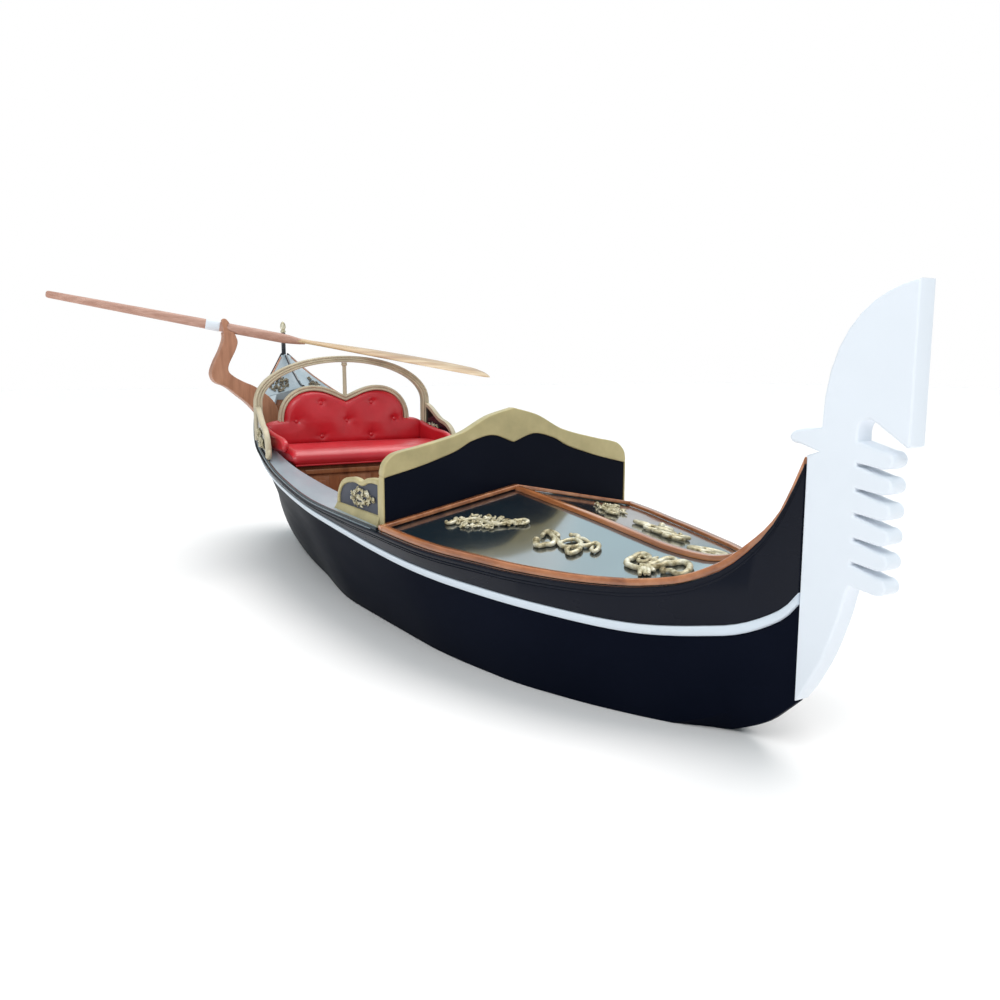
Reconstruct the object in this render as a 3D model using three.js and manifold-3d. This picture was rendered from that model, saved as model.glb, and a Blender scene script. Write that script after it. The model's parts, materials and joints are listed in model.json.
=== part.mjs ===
// A display model of a Venetian gondola, 60 inches long: a black lacquered hull with a white
// rubbing stripe, a gabled foredeck behind a toothed bow iron, a scrolled screen, a button-backed
// loveseat under a reeded arch, and an oar that lies in its carved oarlock and on the arch.
// Millimetres. +X to the bow, +Y to port, +Z up. The origin is on the flat bottom, amidships.
import * as THREE from "three";
import { mergeVertices } from "three/addons/utils/BufferGeometryUtils.js";
import Module from "manifold-3d";

const wasm = await Module();
wasm.setup();

// ---- Driving dimensions ----
const GAP = 0.3; // clearance between pieces that touch
const SCREEN_X = 193; // front face of the screen
const BOW_X = 670; // end of the hull, where the bow iron starts
const STERN_X = -757; // after end of the hull
const AFT_DECK_X = -637; // front edge of the after deck
const ARCH_X = -402; // middle of the arch over the seat
const WELL_HALF = 150; // half width of the passenger well
const SHELL = 6; // hull planking
const STRAKE = 4; // thickness of the upper strake and of the stripe
const DECK = 4; // deck panels
const STRIPE_TALL = 10;
const TRIM_WIDE = 9;
const TRIM_TALL = 5;
const IRON_THICK = 19; // bow iron, a 3/4 inch board
const FLOOR_Z = 66; // top of the floorboards
const SEAT_FRONT_X = -263;
const SEAT_BACK_X = -391; // front of the seat back's cushion
const SEAT_HALF = 148;
const OAR_R = 8.5;

// Hull lines, as [X, value] pairs.
const SHEER_HALF = [[-757, 9], [-700, 58], [-637, 95], [-507, 143], [-367, 177], [-207, 193],
  [-7, 203], [120, 202], [193, 199], [250, 193.5], [313, 182], [370, 167], [433, 148], [483, 128],
  [533, 100], [570, 71], [603, 45], [632, 22], [652, 13], [670, 11]];
const SHEER_Z = [[-757, 370], [-707, 319], [-637, 278], [-507, 236], [-367, 198], [-207, 168],
  [-7, 151], [193, 146], [250, 142.5], [313, 138.5], [370, 137], [433, 135.5], [483, 135.5],
  [533, 137], [570, 142], [603, 157], [632, 188], [652, 222], [670, 260]];
const RIDGE_Z = [[133, 191], [193, 189], [298, 180.5], [345, 176.5], [400, 171], [450, 165.5],
  [496, 161], [527, 160.2], [551, 161], [573, 164.5], [593, 172], [613, 182.5], [632, 197],
  [652, 225], [670, 263]];
const CHINE_HALF = [[-757, 4], [-707, 35], [-616, 65], [-453, 87], [-251, 106], [-17, 138],
  [209, 136], [360, 118], [458, 88], [515, 63], [562, 38], [600, 18], [670, 8]];
const KEEL_Z = [[-757, 290], [-737, 190], [-697, 125], [-616, 74], [-453, 24], [-280, 1.5], [-227, 0],
  [570, 0], [592, 1], [615, 10], [636, 22], [651, 35], [670, 53]];
const STRIPE_Z = [[-757, 345], [-637, 253], [-507, 211], [-367, 173], [-190, 149], [-96, 142],
  [99, 126], [193, 118], [313, 109], [463, 101], [543, 97], [606, 104], [655, 128], [670, 145]];

// ---- Colours ----
const finish = (color, roughness, metalness = 0) =>
  new THREE.MeshStandardMaterial({ color, roughness, metalness });
const BLACK = finish(0x10131c, 0.18);
const WHITE = finish(0xe6eef6, 0.45);
const GOLD = finish(0xb9a878, 0.42, 0.35);
const GILT = finish(0xc9b98a, 0.35, 0.6);
const MAHOGANY = finish(0xa0603a, 0.4);
const WALNUT = finish(0x7a3d20, 0.5);
const BEECH = finish(0xb98a6c, 0.55);
const RED = finish(0xb3212b, 0.45);

// ---- Helpers ----
// A smooth function through [x, value] pairs, with slopes that never overshoot.
function through(points) {
  const n = points.length;
  const grade = (i) => (points[i + 1][1] - points[i][1]) / (points[i + 1][0] - points[i][0]);
  const slope = points.map((_, i) => {
    if (i === 0) return grade(0);
    if (i === n - 1) return grade(n - 2);
    const before = grade(i - 1);
    const after = grade(i);
    return before * after <= 0 ? 0 : (2 * before * after) / (before + after);
  });
  return (x) => {
    let i = 0;
    while (i < n - 2 && x > points[i + 1][0]) i++;
    const width = points[i + 1][0] - points[i][0];
    const t = Math.min(1, Math.max(0, (x - points[i][0]) / width));
    const u = 1 - t;
    return points[i][1] * u * u * (1 + 2 * t) + points[i + 1][1] * t * t * (3 - 2 * t) +
      width * t * u * (slope[i] * u - slope[i + 1] * t);
  };
}
// Evenly spaced stations from a to b.
const stations = (a, b, step) => {
  const count = Math.max(1, Math.ceil(Math.abs(b - a) / step));
  return Array.from({ length: count + 1 }, (_, i) => a + ((b - a) * i) / count);
};
// Every piece that follows the hull shares these stations, and is straight between them.
const FRAMES = stations(STERN_X, BOW_X, 24);
const between = (a, b) => [a, ...FRAMES.filter((x) => x > a + 3 && x < b - 3), b];
function faired(points) {
  const line = through(points);
  const values = FRAMES.map(line);
  const step = FRAMES[1] - FRAMES[0];
  return (x) => {
    const at = Math.min(FRAMES.length - 1.001, Math.max(0, (x - STERN_X) / step));
    const i = Math.floor(at);
    return values[i] + (values[i + 1] - values[i]) * (at - i);
  };
}
const sheerHalf = faired(SHEER_HALF);
const sheerZ = faired(SHEER_Z);
const ridgeZ = faired(RIDGE_Z);
const chineHalf = faired(CHINE_HALF);
const keelZ = faired(KEEL_Z);
const stripeZ = faired(STRIPE_Z);

// Turns a closed geometry's faces outwards.
function facingOut(geometry) {
  const g = geometry.index ? geometry : mergeVertices(geometry);
  const p = g.attributes.position;
  const a = new THREE.Vector3();
  const b = new THREE.Vector3();
  const c = new THREE.Vector3();
  let volume = 0;
  for (let i = 0; i < g.index.count; i += 3) {
    a.fromBufferAttribute(p, g.index.getX(i));
    b.fromBufferAttribute(p, g.index.getX(i + 1));
    c.fromBufferAttribute(p, g.index.getX(i + 2));
    volume += a.dot(b.cross(c));
  }
  if (volume < 0) g.setIndex(Array.from(g.index.array).reverse());
  return g;
}

// A closed solid through the sections ring(x), each a list of [y, z].
function loft(xs, ring) {
  const rings = xs.map(ring);
  const n = rings[0].length;
  const vertices = rings.flatMap((r, i) => r.flatMap(([y, z]) => [xs[i], y, z]));
  const faces = [];
  for (let i = 0; i < xs.length - 1; i++) {
    for (let j = 0; j < n; j++) {
      const a = i * n + j;
      const b = i * n + ((j + 1) % n);
      faces.push(a, b, b + n, a, b + n, a + n);
    }
  }
  const flat = (r) => r.map(([y, z]) => new THREE.Vector2(y, z));
  // The caps are wound to match the sides, whichever way round the outline runs.
  const turned = THREE.ShapeUtils.isClockWise(flat(rings[0]));
  const last = (xs.length - 1) * n;
  for (const [a, b, c] of THREE.ShapeUtils.triangulateShape(flat(rings[0]), [])) {
    faces.push(...(turned ? [a, b, c] : [a, c, b]));
  }
  for (const [a, b, c] of THREE.ShapeUtils.triangulateShape(flat(rings.at(-1)), [])) {
    faces.push(...(turned ? [last + a, last + c, last + b] : [last + a, last + b, last + c]));
  }
  const g = new THREE.BufferGeometry();
  g.setAttribute("position", new THREE.Float32BufferAttribute(vertices, 3));
  g.setIndex(faces);
  return facingOut(g);
}

// A BufferGeometry as a solid for cutting and joining, and back again.
function solid(geometry) {
  const bare = new THREE.BufferGeometry();
  const flat = geometry.index ? geometry.toNonIndexed() : geometry;
  bare.setAttribute("position", flat.getAttribute("position").clone());
  const merged = mergeVertices(bare, 1e-3);
  return new wasm.Manifold(new wasm.Mesh({
    numProp: 3,
    vertProperties: merged.attributes.position.array,
    triVerts: new Uint32Array(merged.index.array),
  }));
}
function shown(manifold) {
  const mesh = manifold.getMesh();
  const g = new THREE.BufferGeometry();
  g.setAttribute("position", new THREE.BufferAttribute(mesh.vertProperties, 3));
  g.setIndex(new THREE.BufferAttribute(mesh.triVerts, 1));
  return g;
}

const model = new THREE.Group();
const ACROSS = new THREE.Matrix4().makeBasis(
  new THREE.Vector3(0, 1, 0), new THREE.Vector3(0, 0, 1), new THREE.Vector3(1, 0, 0));
const UPRIGHT = new THREE.Matrix4().makeBasis(
  new THREE.Vector3(1, 0, 0), new THREE.Vector3(0, 0, 1), new THREE.Vector3(0, -1, 0));

function add(name, geometry, material, at = [0, 0, 0]) {
  const mesh = new THREE.Mesh(geometry, material);
  mesh.name = name;
  mesh.position.set(...at);
  model.add(mesh);
  return mesh;
}
const extruded = (shape, depth, curveSegments = 8, bevel = 0) =>
  new THREE.ExtrudeGeometry(shape, {
    depth: depth - 2 * bevel, curveSegments, bevelEnabled: bevel > 0, bevelThickness: bevel,
    bevelSize: bevel, bevelOffset: -bevel, bevelSegments: 2,
  });
// A board that stands across the boat: the shape's axes are Y and Z, its after face is at x.
const boardAcross = (shape, thick, segments, bevel = 0) =>
  extruded(shape, thick, segments, bevel).translate(0, 0, bevel).applyMatrix4(ACROSS);
// A board that stands along the boat: the shape's axes are X and Z, centred on its own middle.
const boardAlong = (shape, thick, segments, bevel = 0) =>
  extruded(shape, thick, segments, bevel).translate(0, 0, bevel - thick / 2).applyMatrix4(UPRIGHT);

const SIDES = [["starboard", -1], ["port", 1]];
const mirrored = (ring, side) => (x) => ring(x).map(([y, z]) => [y * side, z]);

// ---- Hull ----
const hullTop = (x) => (x > 500 ? Math.min(sheerZ(x), deckMiddle(x)) : sheerZ(x)) - DECK - GAP;
const stripeLow = (x) => stripeZ(x) - STRIPE_TALL / 2;
const stripeHigh = (x) => stripeZ(x) + STRIPE_TALL / 2;
const outerHalf = (x, z) => {
  const t = (z - keelZ(x)) / (sheerZ(x) - keelZ(x));
  return chineHalf(x) + (sheerHalf(x) - STRAKE - chineHalf(x)) * t;
};
// The hull's section, with rows where the stripe and the upper strake lie against it.
function hullRing(x, inset, lift, top) {
  const low = keelZ(x) + lift;
  const rows = [low, stripeLow(x), stripeHigh(x), top];
  const half = rows.map((z) => [outerHalf(x, z) - inset, z]);
  return [...half, ...half.map(([y, z]) => [-y, z]).reverse()];
}
function makeHull() {
  const outer = loft(between(STERN_X, BOW_X), (x) => hullRing(x, 0, 0, hullTop(x)));
  const inner = loft(between(STERN_X + 90, BOW_X - 60), (x) =>
    hullRing(x, SHELL, SHELL + 2, hullTop(x) + 25));
  add("hull_shell", shown(solid(outer).subtract(solid(inner))), BLACK);
}

// A strip on the hull's side, from z high(x) down to low(x), with a rounded outer edge.
function sideStrip(name, side, low, high, thick, material) {
  const ring = (x) => {
    const a = low(x);
    const b = high(x);
    const inner = (z) => outerHalf(x, z) + GAP;
    const round = Math.min(1.2, (b - a) / 4);
    return [[inner(a), a], [inner(a) + thick - round, a], [inner(a) + thick, a + round],
      [inner(b) + thick, b - round], [inner(b) + thick - round, b], [inner(b), b]];
  };
  add(`${name}_${side[0]}`, loft(between(STERN_X, BOW_X), mirrored(ring, side[1])), material);
}
function makeSideStrips() {
  for (const side of SIDES) {
    sideStrip("upper_strake", side, (x) => stripeHigh(x) + GAP, (x) => sheerZ(x) - GAP,
      STRAKE - GAP, BLACK);
    sideStrip("white_stripe", side, stripeLow, stripeHigh, STRAKE, WHITE);
  }
}

// ---- Decks ----
const deckEdge = (x) => sheerHalf(x) - STRAKE - 0.3;
const deckFoot = (x) => deckEdge(x) - 2.2;
const deckMiddle = (x) => ridgeZ(x) - TRIM_TALL;
const foreDeckZ = (x, y) => {
  const t = Math.min(1, Math.abs(y) / deckEdge(x));
  return deckMiddle(x) + (sheerZ(x) - deckMiddle(x)) * t;
};
function makeForedeck() {
  const xs = between(SCREEN_X - 14, BOW_X - 1);
  for (const [side, sign] of SIDES) {
    const panel = (x) => [[GAP / 2, deckMiddle(x) - DECK], [deckFoot(x), sheerZ(x) - DECK],
      [deckEdge(x), sheerZ(x)], [GAP / 2, deckMiddle(x)]];
    add(`foredeck_${side}`, loft(xs, mirrored(panel, sign)), BLACK);
    const outer = (x) => deckEdge(x) - 3;
    const trim = (x) => {
      const inner = outer(x) - TRIM_WIDE;
      const top = Math.max(sheerZ(x), foreDeckZ(x, inner)) + TRIM_TALL;
      return [[inner, foreDeckZ(x, inner) + 1], [outer(x), foreDeckZ(x, outer(x)) + 1],
        [outer(x), top - 1.5], [outer(x) - 1.5, top], [inner + 1.5, top], [inner, top - 1.5]];
    };
    add(`foredeck_edge_${side}`,
      loft(between(SCREEN_X + 12, BOW_X - 41), mirrored(trim, sign)), MAHOGANY);
  }
  const ridge = (x) => {
    const half = TRIM_WIDE / 2;
    const foot = foreDeckZ(x, half) + 0.6;
    const top = deckMiddle(x) + TRIM_TALL;
    return [[-half, foot], [0, deckMiddle(x) + 0.5], [half, foot], [half, top - 1.5],
      [half - 1.5, top], [1.5 - half, top], [-half, top - 1.5]];
  };
  add("foredeck_ridge", loft(between(SCREEN_X + 12, BOW_X - 24), ridge), MAHOGANY);
}
// Gilded scrolls on each deck panel: centre, then half the length and half the width.
const SCROLLS = [[281, 94, 43, 25], [407, 70, 37, 18], [520, 50, 33, 13]];
const SCROLL_LINE = [[-0.5, 0.3], [-0.8, 0.7], [-1, 0], [-0.7, -0.6], [-0.3, -0.3], [0, 0],
  [0.3, 0.3], [0.7, 0.6], [1, 0], [0.8, -0.7], [0.5, -0.3]];
function makeScrolls() {
  const radius = 2.8;
  for (const [side, sign] of SIDES) {
    SCROLLS.forEach(([cx, cy, long, wide], i) => {
      const line = SCROLL_LINE.map(([u, v]) => {
        const x = cx + u * long;
        const y = cy + v * wide;
        return new THREE.Vector3(x, y * sign, foreDeckZ(x, y) + radius + 1);
      });
      const section = new THREE.Shape().absarc(0, 0, radius, 0, 2 * Math.PI);
      const scroll = new THREE.ExtrudeGeometry(section, {
        extrudePath: new THREE.CatmullRomCurve3(line), steps: 22, curveSegments: 3 });
      add(`scroll_${i + 1}_${side}`, scroll, GILT);
    });
  }
}
// The wooden rail along the foot of the screen, a shallow gable.
function makeScreenRail() {
  const wide = 10;
  const foot = (y) => foreDeckZ(SCREEN_X + wide / 2, y) + 1.2;
  const half = deckEdge(SCREEN_X) - 3;
  const shape = new THREE.Shape();
  shape.moveTo(-half, foot(half));
  shape.lineTo(0, foot(0));
  shape.lineTo(half, foot(half));
  shape.lineTo(half, foot(half) + TRIM_TALL);
  shape.lineTo(0, foot(0) + TRIM_TALL);
  shape.lineTo(-half, foot(half) + TRIM_TALL);
  add("screen_rail", boardAcross(shape, wide), MAHOGANY, [SCREEN_X + 1, 0, 0]);
}
function makeSideDecks() {
  const inner = (x) => Math.min(WELL_HALF, deckEdge(x) - (x > -430 ? 8 : 34));
  for (const [side, sign] of SIDES) {
    const ring = (x) => [[inner(x), sheerZ(x) - DECK], [deckFoot(x), sheerZ(x) - DECK],
      [deckEdge(x), sheerZ(x)], [inner(x), sheerZ(x)]];
    const deck = loft(between(AFT_DECK_X + GAP, SCREEN_X - 14 - GAP), mirrored(ring, sign));
    const bored = () => shown(solid(deck).subtract(solid(stubBore())));
    add(`side_deck_${side}`, side === "starboard" ? bored() : deck, BLACK);
    const outer = (x) => deckEdge(x) - 1;
    const bead = (x) => [[outer(x) - 4, sheerZ(x) + GAP], [outer(x), sheerZ(x) + GAP],
      [outer(x), sheerZ(x) + 2.4], [outer(x) - 1, sheerZ(x) + 3.2],
      [outer(x) - 3, sheerZ(x) + 3.2], [outer(x) - 4, sheerZ(x) + 2.4]];
    add(`side_edge_${side}`,
      loft(between(AFT_DECK_X + 4, SCREEN_X - 15), mirrored(bead, sign)), MAHOGANY);
  }
}
const aftRidgeZ = faired([[STERN_X, 371], [-695, 327], [AFT_DECK_X, 301], [BOW_X, 301]]);
const aftDeckZ = (x, y) =>
  aftRidgeZ(x) + (sheerZ(x) - aftRidgeZ(x)) * Math.min(1, Math.abs(y) / deckEdge(x));
function makeAftDeck() {
  const ring = (x) => [[-deckFoot(x), sheerZ(x) - DECK], [0, aftRidgeZ(x) - DECK],
    [deckFoot(x), sheerZ(x) - DECK], [deckEdge(x), sheerZ(x)], [0, aftRidgeZ(x)],
    [-deckEdge(x), sheerZ(x)]];
  add("after_deck", loft(between(STERN_X + 4, AFT_DECK_X), ring), BLACK);
}

// ---- Inside the hull ----
const insideHalf = (x, z) => outerHalf(x, z) - SHELL - 0.8;
function crossBoard(name, x, thick, lowZ, topAt, material) {
  // A board across the inside of the hull, from lowZ up to topAt(y).
  const edge = (z) => Math.min(insideHalf(x, z), insideHalf(x + thick, z));
  const high = topAt(edge(topAt(0)));
  const shape = new THREE.Shape();
  shape.moveTo(-edge(lowZ), lowZ);
  shape.lineTo(edge(lowZ), lowZ);
  shape.lineTo(edge(high), high);
  shape.lineTo(0, topAt(0));
  shape.lineTo(-edge(high), high);
  add(name, boardAcross(shape, thick), material, [x, 0, 0]);
}
function makeInside() {
  const lowAt = (x) => Math.max(keelZ(x), keelZ(x + 9)) + SHELL + 2 + 0.6;
  const underForedeck = (y) => foreDeckZ(SCREEN_X - 6, y) - DECK - 1.5;
  crossBoard("fore_bulkhead", SCREEN_X - 12, 6, lowAt(SCREEN_X - 12), underForedeck, BLACK);
  const underAftDeck = (y) => aftDeckZ(AFT_DECK_X - 8, y) - DECK - 2.5;
  crossBoard("after_bulkhead", AFT_DECK_X - 8, 6, lowAt(AFT_DECK_X - 8), underAftDeck, WALNUT);
  const floorFrom = ARCH_X - 40;
  const floorTo = SCREEN_X - 14;
  const floor = (x) => {
    const half = Math.min(insideHalf(x, FLOOR_Z - 5), insideHalf(x, FLOOR_Z));
    return [[-half, FLOOR_Z - 5], [half, FLOOR_Z - 5], [half, FLOOR_Z], [-half, FLOOR_Z]];
  };
  add("floorboards", loft(between(floorFrom, floorTo), floor), WALNUT);
  const platformZ = 205;
  const platform = (x) => {
    const half = insideHalf(x, platformZ - 5);
    return [[-half, platformZ - 5], [half, platformZ - 5], [half, platformZ], [-half, platformZ]];
  };
  add("rower_platform",
    loft(between(AFT_DECK_X - 2 + GAP, -474), platform), WALNUT);
}

// ---- Bow iron ----
const TOOTH_Z = [174.5, 194, 213.5, 233, 252, 269.5];
function makeBowIron() {
  const front = 719;
  const tip = 758;
  const nose = 765;
  const half = 7.2;
  const s = new THREE.Shape();
  s.moveTo(BOW_X + GAP, 54);
  s.splineThru([[681, 69], [697, 99], [709.5, 133], [716, 158], [front, TOOTH_Z[0] - half]]
    .map(([x, z]) => new THREE.Vector2(x, z)));
  TOOTH_Z.forEach((z, i) => {
    s.lineTo(tip - half - 6, z - half);
    s.quadraticCurveTo(tip, z - half + 1, tip, z + 1);
    s.quadraticCurveTo(tip - 1, z + half, tip - half - 3, z + half);
    s.lineTo(front, z + half);
    if (i < TOOTH_Z.length - 1) s.lineTo(front, TOOTH_Z[i + 1] - half);
  });
  s.lineTo(front, 288);
  s.quadraticCurveTo(719, 299, 730, 299);
  s.lineTo(736, 296);
  s.lineTo(nose - 3, 279.5);
  s.lineTo(nose, 281);
  s.lineTo(nose, 403);
  s.bezierCurveTo(727, 398, 684, 372, 684, 291);
  s.lineTo(665, 289);
  s.quadraticCurveTo(652, 287, 652, 281);
  s.quadraticCurveTo(653, 276, 663, 276);
  s.lineTo(682, 271);
  s.lineTo(BOW_X + GAP, 267);
  add("bow_iron", boardAlong(s, IRON_THICK, 7), WHITE);
}

// ---- Screen ----
const CAP_INNER = through([[0, 244], [33, 254], [60, 248], [84, 236], [107, 228], [133, 220],
  [182, 208]]);
const CAP_OUTER = through([[0, 288], [34, 279], [77, 258], [133, 244], [166, 237], [177, 229],
  [183, 217], [183.4, 208]]);
const outline = (points) => new THREE.Shape(points.map(([a, b]) => new THREE.Vector2(a, b)));
// Both halves of a line that is given for the port side only.
const bothSides = (edge, half, step) =>
  stations(-half, half, step).map((y) => [y, edge(Math.abs(y))]);
function makeScreen() {
  const half = 182;
  const foot = (y) => foreDeckZ(SCREEN_X - 7, y) + 1;
  const top = bothSides((y) => CAP_INNER(y) - GAP, half, 14);
  const panel = outline([[-half, foot(half)], [0, foot(0)], [half, foot(half)], ...top.reverse()]);
  add("screen_panel", boardAcross(panel, 10, 4), BLACK, [SCREEN_X - 12, 0, 0]);
  const lower = bothSides(CAP_INNER, half, 14);
  const upper = bothSides(CAP_OUTER, 183.2, 7);
  const cap = outline([...lower, ...upper.reverse()]);
  add("screen_cap", boardAcross(cap, 14, 3, 0.8), GOLD, [SCREEN_X - 14, 0, 0]);
}
// The scrolled cheeks that run aft from the screen along both side decks.
const CHEEK_LONG = 146;
function cheekOutline(inset, foot) {
  const s = new THREE.Shape();
  s.moveTo(inset, foot);
  s.lineTo(CHEEK_LONG - inset, foot);
  s.lineTo(CHEEK_LONG - inset, 52 - inset);
  s.quadraticCurveTo(CHEEK_LONG - 34, 56 - inset, 92, 39 - inset);
  s.quadraticCurveTo(82, 34 - inset, 70, 39 - inset);
  s.quadraticCurveTo(34, 52 - inset, 14 + inset / 2, 30 - inset);
  s.quadraticCurveTo(inset, 20, inset, foot);
  return s;
}
function makeCheeks() {
  for (const [side, sign] of SIDES) {
    const thick = 9;
    const y = sign * 177;
    const at = [SCREEN_X - 16 - CHEEK_LONG, y, 0];
    const rise = (x) => sheerZ(x) + GAP;
    const base = Math.max(rise(at[0]), rise(at[0] + CHEEK_LONG)) + 0.4;
    const frame = solid(boardAlong(cheekOutline(0, 0), thick, 4))
      .subtract(solid(boardAlong(cheekOutline(5, 8), thick + 2, 4)));
    add(`cheek_frame_${side}`, shown(frame), GOLD, [at[0], y, base]);
    add(`cheek_panel_${side}`, boardAlong(cheekOutline(5 + GAP, 8 + GAP), 4, 4), BLACK,
      [at[0], y, base]);
  }
}

// ---- Seat ----
function backOutline(grow) {
  const s = new THREE.Shape();
  s.moveTo(-SEAT_HALF, 206);
  s.lineTo(SEAT_HALF, 206);
  s.lineTo(SEAT_HALF, 238 + grow / 2);
  s.quadraticCurveTo(136, 246 + grow / 2, 117 + grow, 245 + grow / 2);
  s.bezierCurveTo(118 + grow, 276, 92 + grow / 2, 292 + grow, 62, 292 + grow);
  s.bezierCurveTo(36, 292 + grow, 22, 276 + grow, 0, 273 + grow);
  s.bezierCurveTo(-22, 276 + grow, -36, 292 + grow, -62, 292 + grow);
  s.bezierCurveTo(-92 - grow / 2, 292 + grow, -118 - grow, 276, -117 - grow, 245 + grow / 2);
  s.quadraticCurveTo(-136, 246 + grow / 2, -SEAT_HALF, 238 + grow / 2);
  return s;
}
function makeSeat() {
  const boxTop = 170;
  const front = SEAT_FRONT_X - 6;
  const rear = SEAT_BACK_X - 14;
  crossBoard("seat_front", front - 8, 8, FLOOR_Z + GAP, () => boxTop, WALNUT);
  crossBoard("seat_rear", rear, 8, FLOOR_Z + GAP, () => boxTop, WALNUT);
  const half = insideHalf(rear, boxTop);
  add("seat_board", new THREE.BoxGeometry(front - rear, 2 * half, 5), WALNUT,
    [(front + rear) / 2, 0, boxTop + 2.5 + GAP]);
  const cushion = new THREE.Shape();
  cushion.moveTo(SEAT_BACK_X + 1, boxTop + 6);
  cushion.lineTo(SEAT_FRONT_X - 2, boxTop + 6);
  cushion.quadraticCurveTo(SEAT_FRONT_X + 4, 192, SEAT_FRONT_X - 14, 199);
  cushion.quadraticCurveTo(SEAT_FRONT_X - 40, 205, SEAT_BACK_X + 1, 205);
  add("seat_cushion", boardAlong(cushion, 2 * SEAT_HALF - 8, 5), RED);
  add("seat_back_board", boardAcross(backOutline(9), 8, 5), GOLD, [SEAT_BACK_X - 21, 0, 0]);
  add("seat_back_pad", boardAcross(backOutline(0), 12.5, 5), RED, [SEAT_BACK_X - 12.7, 0, 0]);
  const buttons = [[-49, 275], [49, 275], [-95, 243], [0, 242], [95, 243], [-48, 215], [48, 215]];
  buttons.forEach(([y, z], i) => {
    const disc = solid(new THREE.SphereGeometry(5, 10, 8));
    const slab = solid(new THREE.BoxGeometry(12, 12, 12).translate(0, 0, 6));
    const dome = shown(disc.intersect(slab)).applyMatrix4(ACROSS);
    add(`back_button_${i + 1}`, dome, RED, [SEAT_BACK_X + 0.1, y, z]);
  });
  for (const [side, sign] of SIDES) {
    const arm = new THREE.Shape();
    arm.moveTo(SEAT_BACK_X + 1, 206.5);
    arm.lineTo(SEAT_FRONT_X - 24, 206.5);
    arm.quadraticCurveTo(SEAT_FRONT_X - 16, 212, SEAT_FRONT_X - 20, 218);
    arm.quadraticCurveTo(SEAT_FRONT_X - 26, 222, SEAT_FRONT_X - 40, 223);
    arm.lineTo(SEAT_BACK_X + 1, 234);
    add(`seat_arm_${side}`, boardAlong(arm, 12, 4), RED, [0, sign * 152, 0]);
  }
}

// ---- Arch, its post and its wings ----
const ARCH_BASE_Z = 212;
function makeArch() {
  const s = new THREE.Shape();
  const foot = ARCH_BASE_Z;
  const spring = 276;
  const outer = 169;
  const crown = 360;
  const wide = 14;
  s.moveTo(-outer, foot);
  s.lineTo(-outer, spring);
  s.bezierCurveTo(-outer, spring + 48, -92, crown, 0, crown);
  s.bezierCurveTo(92, crown, outer, spring + 48, outer, spring);
  s.lineTo(outer, foot);
  s.lineTo(outer - wide, foot);
  s.lineTo(outer - wide, spring);
  s.bezierCurveTo(outer - wide, spring + 40, 84, crown - wide + 3, 0, crown - wide + 3);
  s.bezierCurveTo(-84, crown - wide + 3, wide - outer, spring + 40, wide - outer, spring);
  s.lineTo(wide - outer, foot);
  add("arch", boardAcross(s, 14, 14), GOLD, [ARCH_X - 7, 0, 0]);
  const post = new THREE.CylinderGeometry(3.6, 4.2, crown - wide + 3 - 285, 12);
  post.rotateX(Math.PI / 2);
  add("arch_post", post, GOLD, [ARCH_X - 1, 0, (crown - wide + 3 + 285) / 2 - GAP]);
  for (const [side, sign] of SIDES) {
    const wing = (grow) => {
      const w = new THREE.Shape();
      const x0 = ARCH_X + 7.5;
      w.moveTo(x0, sheerZ(x0) + 4);
      w.lineTo(x0 + 92, sheerZ(x0 + 92) + 6);
      w.bezierCurveTo(x0 + 98, 206, x0 + 84, 234, x0 + 56, 240 + grow);
      w.bezierCurveTo(x0 + 34, 246 + grow, x0 + 22, 264 + grow, x0, 270 + grow);
      return w;
    };
    add(`wing_panel_${side}`, boardAlong(wing(-4), 7, 5), BLACK, [0, sign * 164, 0]);
  }
}

// ---- Stern post ----
function makeSternPost() {
  const x = STERN_X - 5 - GAP;
  const post = new THREE.CylinderGeometry(4.4, 5, 71, 14).rotateX(Math.PI / 2);
  add("stern_post", post, BLACK, [x, 0, 377.5]);
  const finial = new THREE.LatheGeometry([[0, 0], [4.5, 0], [6, 3], [4.2, 6], [6.2, 11], [5.6, 17],
    [2.8, 22], [0, 24]].map(([r, z]) => new THREE.Vector2(r, z)), 14).rotateX(Math.PI / 2);
  add("stern_finial", finial, GILT, [x, 0, 413.3]);
}

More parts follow.
